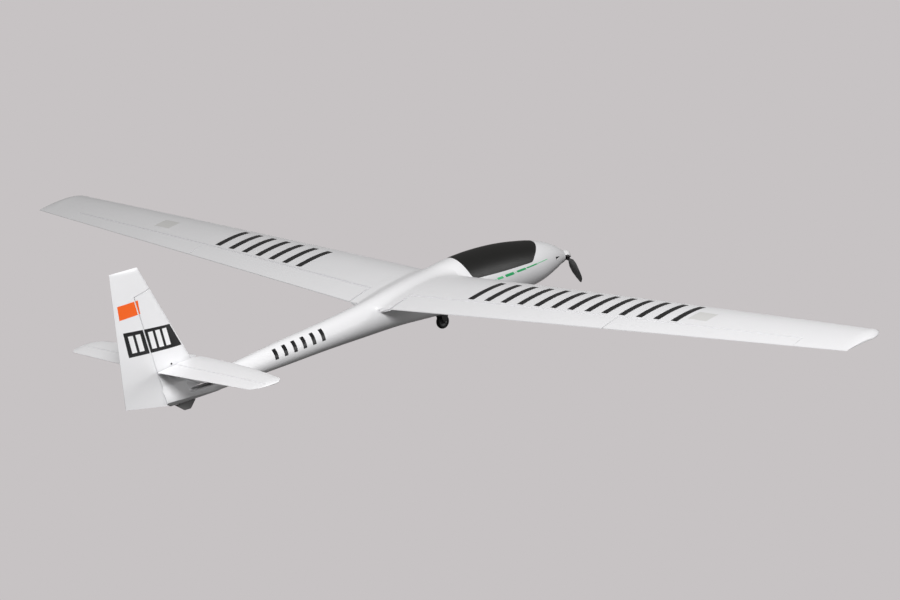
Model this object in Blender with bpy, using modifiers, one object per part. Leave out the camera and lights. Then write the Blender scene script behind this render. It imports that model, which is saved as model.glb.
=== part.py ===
"""Electric foam sailplane of 2.5 m span, as an assembly of separate pieces.

Metres, +Z up, nose towards -Y, starboard towards -X. The origin lies on the ground under the
middle of the sailplane, which stands on its main wheel and tail skid. A "station" is a distance
aft of the spinner's tip, as on an aircraft drawing.
"""

import math

import bmesh
import bpy
from mathutils import Matrix, Vector

# ---------------------------------------------------------------- driving dimensions
SPAN = 2.5
LENGTH = 1.214
GAP = 0.0003
WALL = 0.006
THRUST_Z = 0.0755

# fuselage stations: (station, bottom, top, half width)
FUSELAGE = (
    (0.0225, 0.0615, 0.0900, 0.0142), (0.032, 0.0595, 0.0970, 0.0185), (0.050, 0.0527, 0.1079, 0.0262),
    (0.100, 0.0374, 0.1274, 0.0415), (0.150, 0.0313, 0.1373, 0.0490), (0.200, 0.0284, 0.1436, 0.0525),
    (0.250, 0.0277, 0.1461, 0.0540), (0.300, 0.0296, 0.1454, 0.0530), (0.350, 0.0317, 0.1411, 0.0505),
    (0.400, 0.0330, 0.1332, 0.0465), (0.500, 0.0363, 0.1191, 0.0385), (0.600, 0.0344, 0.1024, 0.0325),
    (0.700, 0.0318, 0.0902, 0.0285), (0.800, 0.0271, 0.0801, 0.0258), (0.900, 0.0231, 0.0677, 0.0218),
    (1.000, 0.0190, 0.0558, 0.0178), (1.060, 0.0173, 0.0493, 0.0145), (1.130, 0.0165, 0.0430, 0.0100))
CAVITY_FRONT = 0.060
CAVITY_BACK = 1.050

# wing, per half, at distance x from the centre line
WING_LE = 0.356
WING_INCIDENCE = 0.085
ROOT_X = 0.0620
FLAP_X = (0.0660, 0.6452)
AILERON_X = (0.6468, 1.1220)
TIP_ROUNDING = 0.030
TIP_SWEEP = 0.045
FLAP_HINGE = (0.5043, 0.4736)
AILERON_HINGE = (0.4736, 0.4519)
JOINER_STATION = 0.418
JOINER_Z = 0.1140
JOINER_RADIUS = 0.006
JOINER_HALF = 0.200

# wing linkages: place along the span, station of the servo ahead of the hinge, arm radius
LINK_RADIUS = 0.0145
FLAP_LINK_X = 0.270
AILERON_LINK_X = 0.840
FLAP_ROD = 0.050
AILERON_ROD = 0.045
HATCH_CENTRE = (0.834, 0.427)
HATCH_HALF = (0.025, 0.017)
HATCH_DEPTH = 0.0012
SURFACE_OPEN_UP = math.radians(30)
FLAP_OPEN_DOWN = math.radians(43)

# tailplane
STAB_ROOT_X = 0.0108
STAB_TIP_X = 0.299
STAB_Z = 0.0986
STAB_DROOP = 0.0344
ELEVATOR_HINGE = 1.0846
ELEVATOR_X = (0.0128, 0.2900)
STAB_TUBE_STATION = 1.052
ELEVATOR_HORN = 0.020

# fin and rudder, in the plane of the hinge line: up along the hinge, aft across it
HINGE_FOOT = (1.1164, 0.0161)
HINGE_LEAN = 0.205
FIN_LE = (-0.11294, 0.277)
RUDDER_TE = (0.09558, -0.1919)
BALANCE_HEIGHT = 0.2430
FIN_TOP_Z = 0.3111
RUDDER_HORN = 0.020
RUDDER_ROD_HEIGHT = 0.026

# canopy outline in side view: station and height
CANOPY_SIDE = ((0.3165, 0.1000), (0.2470, 0.0980), (0.1470, 0.0968), (0.1362, 0.1068), (0.1233, 0.1159),
               (0.1093, 0.1262), (0.1030, 0.1310), (0.0985, 0.1600), (0.3340, 0.1600), (0.3325, 0.1400),
               (0.3290, 0.1244), (0.3230, 0.1085))
CANOPY_WALL = 0.0022

# undercarriage
WHEEL_STATION = 0.372
WHEEL_RADIUS = 0.0155
WHEEL_WIDTH = 0.011
TREAD_HALF = 0.0042
SKID_SIDE = ((1.0378, 0.0163), (1.0522, 0.0), (1.0672, 0.0), (1.0884, 0.0148), (1.0780, 0.0150),
             (1.0780, 0.0260), (1.0500, 0.0260), (1.0500, 0.0160))

# propeller
HUB_STATION = 0.0165
HUB_ROLL = math.radians(10.8)
PIVOT_RADIUS = 0.0160
BLADE_LENGTH = 0.130
BLADE_SWEEP = math.radians(31.3)

COLOURS = {
    "foam": ((0.82, 0.82, 0.83), 0.45, 0.0), "canopy": ((0.012, 0.012, 0.011), 0.35, 0.0),
    "black_plastic": ((0.02, 0.02, 0.02), 0.45, 0.0), "carbon": ((0.03, 0.03, 0.032), 0.3, 0.0),
    "steel": ((0.6, 0.6, 0.62), 0.3, 1.0), "aluminium": ((0.75, 0.75, 0.77), 0.3, 1.0),
    "rubber": ((0.015, 0.015, 0.015), 0.8, 0.0), "grey_plastic": ((0.25, 0.25, 0.26), 0.5, 0.0),
    "plywood": ((0.55, 0.38, 0.2), 0.7, 0.0), "battery": ((0.03, 0.06, 0.25), 0.5, 0.0),
    "strap": ((0.02, 0.02, 0.02), 0.9, 0.0), "white_plastic": ((0.8, 0.8, 0.78), 0.4, 0.0)}


# ---------------------------------------------------------------- scene and object helpers
def clear_scene():
    for obj in list(bpy.data.objects):
        bpy.data.objects.remove(obj, do_unlink=True)


def new_collection(name):
    collection = bpy.data.collections.new(name)
    bpy.context.scene.collection.children.link(collection)
    return collection


def material(name):
    if name in bpy.data.materials:
        return bpy.data.materials[name]
    colour, roughness, metallic = COLOURS[name]
    result = bpy.data.materials.new(name)
    result.use_nodes = True
    shader = result.node_tree.nodes["Principled BSDF"]
    shader.inputs["Base Color"].default_value = (*colour, 1)
    shader.inputs["Roughness"].default_value = roughness
    shader.inputs["Metallic"].default_value = metallic
    return result


def add_object(name, data, finish=None, smooth=True):
    """Link a mesh or curve as a piece of the sailplane, or as a cutter when it has no finish."""
    obj = bpy.data.objects.new(name, data)
    if finish:
        PARTS.objects.link(obj)
        data.materials.append(material(finish))
    else:
        CUTTERS.objects.link(obj)
        obj.hide_render = True
        obj.display_type = "WIRE"
    if smooth and isinstance(data, bpy.types.Mesh):
        data.shade_smooth()
        data.set_sharp_from_angle(angle=math.radians(35))
    return obj


def mesh_object(name, bm, finish=None):
    bmesh.ops.recalc_face_normals(bm, faces=bm.faces)
    mesh = bpy.data.meshes.new(name)
    bm.to_mesh(mesh)
    bm.free()
    return add_object(name, mesh, finish)


def loft(name, rings, finish=None):
    """A closed skin through rings of equal point count, with a flat cap at each end."""
    bm = bmesh.new()
    loops = [[bm.verts.new(p) for p in ring] for ring in rings]
    for a, b in zip(loops, loops[1:]):
        for i in range(len(a)):
            j = (i + 1) % len(a)
            bm.faces.new((a[i], a[j], b[j], b[i]))
    bm.faces.new(list(reversed(loops[0])))
    bm.faces.new(loops[-1])
    return mesh_object(name, bm, finish)


def box(name, low, high, finish=None, bevel=0.0):
    bm = bmesh.new()
    bmesh.ops.create_cube(bm, size=1.0)
    size = Vector(high) - Vector(low)
    bmesh.ops.scale(bm, vec=size, verts=bm.verts)
    bmesh.ops.translate(bm, vec=(Vector(high) + Vector(low)) / 2, verts=bm.verts)
    obj = mesh_object(name, bm, finish)
    if bevel:
        mod = obj.modifiers.new("bevel", "BEVEL")
        mod.width = bevel
        mod.segments = 2
    return obj


def rod(name, start, end, radius, finish=None, sides=16):
    """A straight round rod between two points."""
    start, end = Vector(start), Vector(end)
    bm = bmesh.new()
    bmesh.ops.create_cone(bm, cap_ends=True, segments=sides, radius1=radius, radius2=radius,
                          depth=(end - start).length)
    turn = Vector((0, 0, 1)).rotation_difference(end - start).to_matrix().to_4x4()
    bmesh.ops.transform(bm, matrix=Matrix.Translation((start + end) / 2) @ turn, verts=bm.verts)
    return mesh_object(name, bm, finish)


def wire(name, points, radius, finish):
    """A bent wire through the given points."""
    curve = bpy.data.curves.new(name, "CURVE")
    curve.dimensions = "3D"
    curve.bevel_depth = radius
    curve.bevel_resolution = 2
    curve.use_fill_caps = True
    spline = curve.splines.new("POLY")
    spline.points.add(len(points) - 1)
    for point, place in zip(spline.points, points):
        point.co = (*place, 1)
    return add_object(name, curve, finish)


def plate(name, outline, thickness, matrix, finish=None, holes=()):
    """A flat outline, with holes, drawn in the local XY plane and placed by a matrix."""
    curve = bpy.data.curves.new(name, "CURVE")
    curve.dimensions = "2D"
    curve.fill_mode = "BOTH"
    curve.extrude = thickness / 2
    for loop in (outline, *holes):
        spline = curve.splines.new("POLY")
        spline.points.add(len(loop) - 1)
        for point, place in zip(spline.points, loop):
            point.co = (*place, 0, 1)
        spline.use_cyclic_u = True
    source = bpy.data.objects.new(name + "_outline", curve)
    CUTTERS.objects.link(source)
    bpy.context.view_layer.update()
    evaluated = source.evaluated_get(bpy.context.evaluated_depsgraph_get())
    mesh = bpy.data.meshes.new_from_object(evaluated)
    bpy.data.objects.remove(source, do_unlink=True)
    bm = bmesh.new()
    bm.from_mesh(mesh)
    bpy.data.meshes.remove(mesh)
    bmesh.ops.remove_doubles(bm, verts=bm.verts, dist=1e-6)
    bmesh.ops.transform(bm, matrix=matrix, verts=bm.verts)
    return mesh_object(name, bm, finish)


def turned(name, profile, place, finish, steps=24):
    """A turned piece about an axis along Y; the profile is (radius, distance forward)."""
    mesh = bpy.data.meshes.new(name)
    count = len(profile)
    on_axis = profile[0][0] == 0 and profile[-1][0] == 0
    edges = [(i, i + 1) for i in range(count - 1)] + ([] if on_axis else [(count - 1, 0)])
    mesh.from_pydata([(r, 0, z) for r, z in profile], edges, [])
    obj = add_object(name, mesh, finish)
    screw = obj.modifiers.new("turn", "SCREW")
    screw.steps = steps
    screw.render_steps = steps
    screw.use_merge_vertices = True
    screw.merge_threshold = 0.00001
    obj.rotation_euler = (math.pi / 2, 0, 0)
    obj.location = place
    return obj


def boolean(obj, cutter, operation="DIFFERENCE"):
    mod = obj.modifiers.new(operation.lower(), "BOOLEAN")
    mod.operation = operation
    mod.solver = "EXACT"
    mod.object = cutter
    return obj


def along(station):
    """The Y coordinate of a station."""
    return station - LENGTH / 2


def arc(cx, cy, radius, start, end, count):
    angles = [start + (end - start) * i / (count - 1) for i in range(count)]
    return [(cx + radius * math.cos(a), cy + radius * math.sin(a)) for a in angles]


def side_prism(name, outline, half_width, finish=None, centre_x=0.0):
    """An outline in side view (station, height), extruded across the sailplane."""
    matrix = Matrix(((0, 0, 1, centre_x), (1, 0, 0, -LENGTH / 2), (0, 1, 0, 0), (0, 0, 0, 1)))
    return plate(name, outline, 2 * half_width, matrix, finish)


# ---------------------------------------------------------------- fuselage
def fuselage_section(station, inset=0.0, count=32):
    """A near-elliptic ring of the fuselage at a station."""
    for low, high in zip(FUSELAGE, FUSELAGE[1:]):
        if station <= high[0]:
            break
    t = (station - low[0]) / (high[0] - low[0])
    bottom, top, half = (low[k] + (high[k] - low[k]) * t for k in (1, 2, 3))
    middle, height = (bottom + top) / 2, (top - bottom) / 2 - inset
    angles = [2 * math.pi * (i + 0.5) / count for i in range(count)]
    return [Vector(((half - inset) * math.cos(a), along(station), middle + height * math.sin(a)))
            for a in angles]


def build_fuselage():
    """Two moulded half shells with the fin and the wing roots moulded on."""
    body = loft("fuselage_solid", [fuselage_section(row[0]) for row in FUSELAGE])
    boolean(body, fin_solid(), "UNION")
    for side in (-1, 1):
        stub = [wing_section(x, side, 0, 1, swell=1.015) for x in (0.010, ROOT_X - GAP)]
        boolean(body, loft(f"wing_stub_{side}", stub), "UNION")
    inside = [s for s, *_ in FUSELAGE if CAVITY_FRONT < s < CAVITY_BACK]
    inner = loft("cavity", [fuselage_section(s, WALL, 24) for s in (CAVITY_FRONT, *inside, CAVITY_BACK)])
    boolean(body, inner)
    boolean(body, rod("motor_bay", motor_point(0.0282), motor_point(0.0720), 0.0152, sides=24))
    boolean(body, rod("shaft_hole", motor_point(0.010), motor_point(0.040), 0.0050))
    boolean(body, side_prism("canopy_opening", CANOPY_SIDE, 0.10))
    boolean(body, behind_hinge("shell_end", 0.0004))
    boolean(body, box("wheel_well", (-0.0135, along(WHEEL_STATION - 0.0225), 0.010),
                      (0.0135, along(WHEEL_STATION + 0.0225), 0.0360)))
    boolean(body, joiner_rod("joiner_bore", JOINER_RADIUS + GAP, 0.09))
    boolean(body, stab_tube("stab_tube_bore", 0.0023, 0.05))
    boolean(body, rod("elevator_joiner_bore", elevator_axis(-0.03), elevator_axis(0.03), 0.0016))
    boolean(body, side_prism("skid_slot", ((1.0494, 0.010), (1.0786, 0.010), (1.0786, 0.0265),
                                           (1.0494, 0.0265)), 0.0026))
    boolean(body, box("elevator_rod_slot", (-0.020, along(1.000), 0.0385), (-0.0060, along(1.062), 0.066)))
    boolean(body, box("rudder_rod_slot", (0.0060, along(0.985), 0.0340), (0.030, along(1.066), 0.0420)))
    for side, name in ((1, "fuselage_left_shell"), (-1, "fuselage_right_shell")):
        near, far = sorted((side * GAP / 2, side * 0.20))
        half = box(name, (near, -0.8, -0.1), (far, 0.8, 0.5), "foam")
        boolean(half, body, "INTERSECT")


def build_canopy():
    """A thin black shell that fills the opening in the top of the fuselage."""
    stations = [0.095, *(s for s, *_ in FUSELAGE if 0.1 <= s <= 0.34), 0.345]
    outer = loft("canopy", [fuselage_section(s) for s in stations], "canopy")
    inner = loft("canopy_inside", [fuselage_section(s, CANOPY_WALL) for s in (0.090, *stations[1:-1], 0.350)])
    trim = side_prism("canopy_trim", inset_outline(CANOPY_SIDE, 0.0005), 0.10)
    boolean(outer, trim, "INTERSECT")
    boolean(outer, inner)


def inset_outline(outline, distance):
    """Move each corner of a closed side outline towards its inside."""
    points = [Vector(p) for p in outline]
    area = sum(a.cross(b) for a, b in zip(points, points[1:] + points[:1]))
    turn = 1 if area > 0 else -1
    result = []
    for i, point in enumerate(points):
        before = (point - points[i - 1]).normalized()
        after = (points[(i + 1) % len(points)] - point).normalized()
        normal = Vector((-before.y - after.y, before.x + after.x)) * turn
        normal.normalize()
        scale = 1 / max(0.35, abs(normal.dot(Vector((-before.y, before.x)))))
        result.append(tuple(point + normal * distance * scale))
    return result


# ---------------------------------------------------------------- wing
def wing_le(x):
    """Station and height of the leading edge at distance x from the centre line."""
    round_off = tip_rounding(x)
    return WING_LE + 0.001 * x + TIP_SWEEP * round_off, 0.1104 + 0.0385 * x - 0.0046 * x * x


def wing_te(x):
    return 0.568 - 0.069 * x - 0.0075 * x * x


def tip_rounding(x):
    """0 along the wing, rising as a quarter circle to 1 at the tip."""
    u = max(0.0, (x - SPAN / 2 + TIP_ROUNDING) / TIP_ROUNDING)
    return 1 - math.sqrt(max(0.0, 1 - min(u, 1.0) ** 2))


def camber_line(f, camber=0.028, place=0.40):
    if f < place:
        return camber / place ** 2 * (2 * place * f - f * f)
    return camber / (1 - place) ** 2 * (1 - 2 * place + 2 * place * f - f * f)


def half_thickness(f, ratio):
    """Half thickness of a closed four-digit section, as a fraction of its chord."""
    return 5 * ratio * (0.2969 * math.sqrt(f) - 0.126 * f - 0.3516 * f ** 2 + 0.2843 * f ** 3
                        - 0.1015 * f ** 4) + 0.0035 * f


def wing_heights(x, station):
    """Lower and upper height of the wing surface at a station."""
    le, le_z = wing_le(x)
    chord = wing_te(x) - le
    f = min(max((station - le) / chord, 0.0), 1.0)
    _, straight_z = wing_le(min(x, SPAN / 2))
    thin = 1 - 0.75 * tip_rounding(x)
    middle = straight_z - WING_INCIDENCE * (station - WING_LE) + camber_line(f) * chord
    half = half_thickness(f, 0.115) * chord * thin
    return middle - half, middle + half


def fractions(start, end, count):
    """Chord fractions, closer together towards the leading edge."""
    a, b = math.sqrt(start), math.sqrt(end)
    return [(a + (b - a) * i / count) ** 2 for i in range(count + 1)]


def wing_section(x, side, start, end, swell=1.0, count=10):
    """A closed section ring between two chord fractions."""
    le, _ = wing_le(x)
    chord = wing_te(x) - le
    stations = [le + chord * f for f in fractions(start, end, count)]
    upper = [(s, wing_heights(x, s)[1]) for s in stations]
    lower = [(s, wing_heights(x, s)[0]) for s in stations]
    ring = upper + lower[::-1]
    if start == 0:
        ring = upper + lower[:0:-1]
    middle = sum(z for _, z in ring) / len(ring)
    return [Vector((side * x, along(s), middle + (z - middle) * swell)) for s, z in ring]


def hinge_station(x):
    """Station of the flap or aileron hinge at distance x."""
    if x <= AILERON_X[0]:
        (x0, x1), (s0, s1) = FLAP_X, FLAP_HINGE
    else:
        (x0, x1), (s0, s1) = AILERON_X, AILERON_HINGE
    return s0 + (s1 - s0) * (x - x0) / (x1 - x0)


def hinge_point(x, side, ends):
    """A point on the straight hinge axis that runs between two places along the span."""
    points = [Vector((side * e, along(hinge_station(e)), sum(wing_heights(e, hinge_station(e))) / 2))
              for e in ends]
    return points[0].lerp(points[1], (x - ends[0]) / (ends[1] - ends[0]))


def wing_spans():
    return [ROOT_X, 0.20, 0.34, 0.50, 0.646, 0.80, 0.96, 1.1225, 1.190, 1.2145, 1.232, 1.242, 1.2475, 1.2497]


def build_wings():
    for side, name in ((1, "left"), (-1, "right")):
        wing = loft(f"wing_{name}", [wing_section(x, side, 0, 1) for x in wing_spans()], "foam")
        cut = [(ROOT_X - 0.01, hinge_station(ROOT_X) - 0.0005), (0.646, hinge_station(0.6452) - 0.0005),
               (1.1226, hinge_station(1.122) - 0.0005), (1.1226, 0.60), (ROOT_X - 0.01, 0.60)]
        matrix = Matrix(((side, 0, 0, 0), (0, 1, 0, -LENGTH / 2), (0, 0, 1, 0.13), (0, 0, 0, 1)))
        boolean(wing, plate(f"hinge_cut_{name}", cut, 0.16, matrix))
        boolean(wing, joiner_rod(f"wing_bore_{name}", JOINER_RADIUS + GAP, JOINER_HALF + 0.001))
        build_linkage(name, side, "flap", wing, FLAP_LINK_X, FLAP_X, FLAP_ROD)
        build_linkage(name, side, "aileron", wing, AILERON_LINK_X, AILERON_X, AILERON_ROD)
        build_surface(f"flap_{name}", side, FLAP_X, FLAP_OPEN_DOWN)
        build_surface(f"aileron_{name}", side, AILERON_X, SURFACE_OPEN_UP)
        build_hatch(name, side, wing)


def build_surface(name, side, ends, open_down):
    """A control surface whose nose is bevelled to a blunt edge on its hinge axis."""
    rings = []
    for i in range(5):
        x = ends[0] + (ends[1] - ends[0]) * i / 4
        x = min(max(x, ends[0] + GAP), ends[1] - GAP)
        axis = hinge_point(x, side, ends)
        station = axis.y + LENGTH / 2
        low, high = wing_heights(x, station)
        back = wing_te(x)
        nose = [(station, axis.z + 0.0002), (station, axis.z - 0.0002)]
        top_start = station + (high - axis.z) * math.tan(SURFACE_OPEN_UP)
        low_start = station + (axis.z - low) * math.tan(open_down)
        steps = [0.0, 0.3, 0.65, 1.0]
        upper = [top_start + (back - top_start) * t for t in steps]
        lower = [low_start + (back - low_start) * t for t in steps]
        ring = [nose[0]] + [(s, wing_heights(x, s)[1]) for s in upper]
        ring += [(s, wing_heights(x, s)[0]) for s in lower[::-1]] + [nose[1]]
        rings.append([Vector((side * x, along(s), z)) for s, z in ring])
    return loft(name, rings, "foam")


def joiner_rod(name, radius, half_length, finish=None):
    y = along(JOINER_STATION)
    return rod(name, (-half_length, y, JOINER_Z), (half_length, y, JOINER_Z), radius, finish)


def build_hatch(name, side, wing):
    """A thin servo hatch set into the upper skin over the aileron servo."""
    x0, x1 = HATCH_CENTRE[0] - HATCH_HALF[0], HATCH_CENTRE[0] + HATCH_HALF[0]
    s0, s1 = HATCH_CENTRE[1] - HATCH_HALF[1], HATCH_CENTRE[1] + HATCH_HALF[1]
    corners = [(x, s, wing_heights(x, s)[1]) for x, s in ((x0, s0), (x1, s0), (x1, s1), (x0, s1))]

    def slab(label, grow, drop, rise, finish=None):
        sign = ((-1, -1), (1, -1), (1, 1), (-1, 1))
        ring = [(side * (x + i * grow), along(s + j * grow), z) for (x, s, z), (i, j) in zip(corners, sign)]
        low = [Vector((x, y, z - drop)) for x, y, z in ring]
        high = [Vector((x, y, z + rise)) for x, y, z in ring]
        return loft(label, [low, high], finish)

    boolean(wing, slab(f"hatch_recess_{name}", GAP, HATCH_DEPTH, 0.004))
    slab(f"aileron_servo_hatch_{name}", 0.0, HATCH_DEPTH - GAP, 0.0, "white_plastic")


# ---------------------------------------------------------------- linkages
def lever(name, pivot, tip, thickness, finish, axis, hub=0.0032, end=0.0019, bore=0.0):
    """A flat lever from a pivot to a tip, perpendicular to an axis."""
    pivot, tip, axis = Vector(pivot), Vector(tip), Vector(axis).normalized()
    run = tip - pivot
    length = run.length
    lean = math.asin((hub - end) / length)
    outline = arc(0, 0, hub, math.pi / 2 - lean, 3 * math.pi / 2 + lean, 9)
    outline += arc(length, 0, end, -math.pi / 2 + lean, math.pi / 2 - lean, 7)
    holes = [arc(0, 0, bore, 0, 2 * math.pi * 11 / 12, 12)] if bore else []
    along_lever = run.normalized()
    across = axis.cross(along_lever)
    matrix = Matrix((along_lever, across, axis)).transposed().to_4x4()
    matrix.translation = pivot
    return plate(name, outline, thickness, matrix, finish, holes)


def build_linkage(name, side, surface, wing, x, ends, reach):
    """Servo, arm, pushrod and horn of a wing surface, as a parallelogram under the wing."""
    axis = (hinge_point(ends[1], side, ends) - hinge_point(ends[0], side, ends)).normalized()
    hinge = hinge_point(x, side, ends)
    pivot = hinge - Vector((0, reach, 0))
    drop = Vector((0, 0, -LINK_RADIUS))
    outward = Vector((side, 0, 0))
    # the servo lies on its side, with its shaft on the pivot
    low = pivot + Vector((0, -0.0165, -0.0050)) + outward * 0.0017
    high = pivot + Vector((0, 0.0060, 0.0050)) + outward * 0.0237
    low, high = ordered(low, high)
    box(f"{surface}_servo_{name}", low, high, "black_plastic", bevel=0.0006)
    grow = Vector((0.0005, 0.0005, 0.0004))
    pocket = box(f"{surface}_servo_pocket_{name}", low - grow - Vector((0, 0, 0.03)), high + grow)
    boolean(wing, pocket)
    slot_low, slot_high = ordered(pivot - outward * 0.0024 + Vector((0, -0.0165, -0.03)),
                                  pivot + outward * 0.0020 + Vector((0, 0.0120, 0.0040)))
    boolean(wing, box(f"{surface}_arm_slot_{name}", slot_low, slot_high))
    lever(f"{surface}_servo_arm_{name}", pivot, pivot + drop, 0.0014, "white_plastic", axis)
    # the pushrod runs beside the arm and the horn
    beside = -axis * 0.0024
    start = pivot + drop + beside
    end = hinge + drop + beside
    run = (end - start).normalized()
    rod(f"{surface}_pushrod_{name}", start - run * 0.002, end + run * 0.002, 0.0008, "steel", sides=10)
    build_horn(f"{surface}_horn_{name}", hinge, drop, axis, x)


def ordered(a, b):
    """The lowest and highest corner of the box between two points."""
    return (Vector([min(p, q) for p, q in zip(a, b)]), Vector([max(p, q) for p, q in zip(a, b)]))


def build_horn(name, hinge, drop, axis, x):
    """A control horn under a surface: a foot on the skin and a hole straight below the hinge."""
    station = hinge.y + LENGTH / 2
    foot = [station + 0.0095, station + 0.0230]
    skin = [wing_heights(x, s)[0] - 0.0004 - hinge.z for s in foot]
    outline = [(0.0095, skin[0]), (0.0230, skin[1]), (0.0225, skin[1] - 0.0016), (0.0160, skin[1] - 0.0030)]
    outline += [(p, q + drop.z) for p, q in arc(0, 0, 0.0020, 0.2, -math.pi - 0.3, 8)]
    outline += [(0.0080, skin[0] - 0.0024)]
    along_y = Vector((0, 1, 0)) - axis * axis.y
    along_y.normalize()
    up = axis.cross(along_y) if axis.cross(along_y).z > 0 else along_y.cross(axis)
    matrix = Matrix((along_y, up, along_y.cross(up))).transposed().to_4x4()
    matrix.translation = hinge
    return plate(name, outline, 0.0016, matrix, "black_plastic")


# ---------------------------------------------------------------- tailplane and elevator
def stab_edges(x):
    """Leading and trailing edge stations of the tailplane at distance x."""
    u = max(0.0, (x - 0.275) / (STAB_TIP_X - 0.275))
    rounding = 1 - math.sqrt(max(0.0, 1 - min(u, 1.0) ** 2))
    return 1.016 + 0.6 * x ** 2.5 + 0.022 * rounding, 1.132 - 0.042 * (x - 0.0125) - 0.045 * rounding


def stab_heights(x, station):
    le, te = stab_edges(x)
    chord = te - le
    f = min(max((station - le) / chord, 0.0), 1.0)
    middle = STAB_Z - STAB_DROOP * (station - 1.016)
    half = half_thickness(f, 0.090) * chord
    return middle - half, middle + half


def elevator_axis(x):
    return Vector((x, along(ELEVATOR_HINGE), STAB_Z - STAB_DROOP * (ELEVATOR_HINGE - 1.016)))


def stab_ring(x, side, end_station=None):
    le, te = stab_edges(x)
    end = te if end_station is None else end_station
    stations = [le + (end - le) * f for f in fractions(0, 1, 7)]
    upper = [(s, stab_heights(x, s)[1]) for s in stations]
    lower = [(s, stab_heights(x, s)[0]) for s in stations]
    return [Vector((side * x, along(s), z)) for s, z in upper + lower[:0:-1]]


def stab_tube(name, radius, half_length, finish=None):
    z = STAB_Z - STAB_DROOP * (STAB_TUBE_STATION - 1.016)
    y = along(STAB_TUBE_STATION)
    return rod(name, (-half_length, y, z), (half_length, y, z), radius, finish)


def build_tailplane():
    cut_x = ELEVATOR_X[1] + 0.0010
    for side, name in ((1, "left"), (-1, "right")):
        xs = [STAB_ROOT_X, 0.08, 0.15, 0.22, 0.275, 0.288, 0.295, 0.2985]
        stab = loft(f"stabiliser_{name}", [stab_ring(x, side) for x in xs], "foam")
        low, high = ordered((side * 0.0, along(ELEVATOR_HINGE - 0.0005), 0.0),
                            (side * cut_x, along(1.20), 0.2))
        boolean(stab, box(f"elevator_cut_{name}", low, high))
        boolean(stab, stab_tube(f"tube_socket_{name}", 0.0023, 0.121))
        elevator = build_elevator(f"elevator_{name}", side)
        boolean(elevator, rod(f"joiner_socket_{name}", elevator_axis(side * 0.002),
                              elevator_axis(side * 0.0415), 0.0015))
        boolean(stab, rod(f"joiner_relief_{name}", elevator_axis(side * 0.002),
                          elevator_axis(side * 0.0415), 0.0019))
    stab_tube("stabiliser_joiner_tube", 0.0020, 0.120, "carbon")
    rod("elevator_joiner", elevator_axis(-0.041), elevator_axis(0.041), 0.0012, "steel")


def build_elevator(name, side):
    rings = []
    for x in (ELEVATOR_X[0], 0.10, 0.19, 0.275, 0.283, ELEVATOR_X[1]):
        axis = elevator_axis(side * x)
        station = ELEVATOR_HINGE
        low, high = stab_heights(x, station)
        depth = (high - axis.z) * math.tan(SURFACE_OPEN_UP)
        back = stab_edges(x)[1]
        steps = [station + depth + (back - station - depth) * t for t in (0.0, 0.35, 0.7, 1.0)]
        ring = [(station, axis.z + 0.0002)] + [(s, stab_heights(x, s)[1]) for s in steps]
        ring += [(s, stab_heights(x, s)[0]) for s in steps[::-1]] + [(station, axis.z - 0.0002)]
        rings.append([Vector((side * x, along(s), z)) for s, z in ring])
    return loft(name, rings, "foam")


# ---------------------------------------------------------------- fin and rudder
HINGE_UP = Vector((0, HINGE_LEAN, 1)).normalized()
HINGE_AFT = Vector((0, 1, -HINGE_LEAN)).normalized()


def tail_point(x, height, aft):
    """A point from its side offset, its height along the rudder hinge and its distance aft of it."""
    foot = Vector((0, along(HINGE_FOOT[0]), HINGE_FOOT[1]))
    return foot + HINGE_UP * height + HINGE_AFT * aft + Vector((x, 0, 0))


def tail_half(height, aft):
    """Half thickness of the fin and rudder, fuller where they meet the end of the fuselage."""
    le = FIN_LE[0] + FIN_LE[1] * height
    te = RUDDER_TE[0] + RUDDER_TE[1] * height
    f = min(max((aft - le) / (te - le), 0.0), 1.0)
    half = half_thickness(f, 0.100) * (te - le)
    foot = 0.0035 * math.exp(-(max(height, 0.0) / 0.045) ** 2)
    return half + foot * max(0.0, 1 - max(aft, 0.0) / 0.09)


def tail_ring(height, start, end, count=8, flat_nose=False):
    steps = [start + (end - start) * f for f in fractions(0, 1, count)]
    right = [(tail_half(height, a), a) for a in steps]
    ring = right + [(-x, a) for x, a in (right[::-1] if flat_nose else right[:0:-1])]
    return [tail_point(x, height, a) for x, a in ring]


def fin_solid():
    """The fin ahead of the rudder, down into the fuselage."""
    rings = []
    for height in (0.020, 0.045, 0.080, 0.130, 0.190, BALANCE_HEIGHT - 0.0006):
        rings.append(tail_ring(height, FIN_LE[0] + FIN_LE[1] * height, 0.004))
    return loft("fin_solid", rings)


def behind_hinge(name, clearance):
    """A block that fills everything aft of the rudder hinge."""
    low = [tail_point(x, -0.05, -clearance) for x in (-0.1, 0.1)]
    low += [tail_point(x, -0.05, 0.2) for x in (0.1, -0.1)]
    high = [p + HINGE_UP * (BALANCE_HEIGHT + 0.10) for p in low]
    return loft(name, [low, high])


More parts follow.
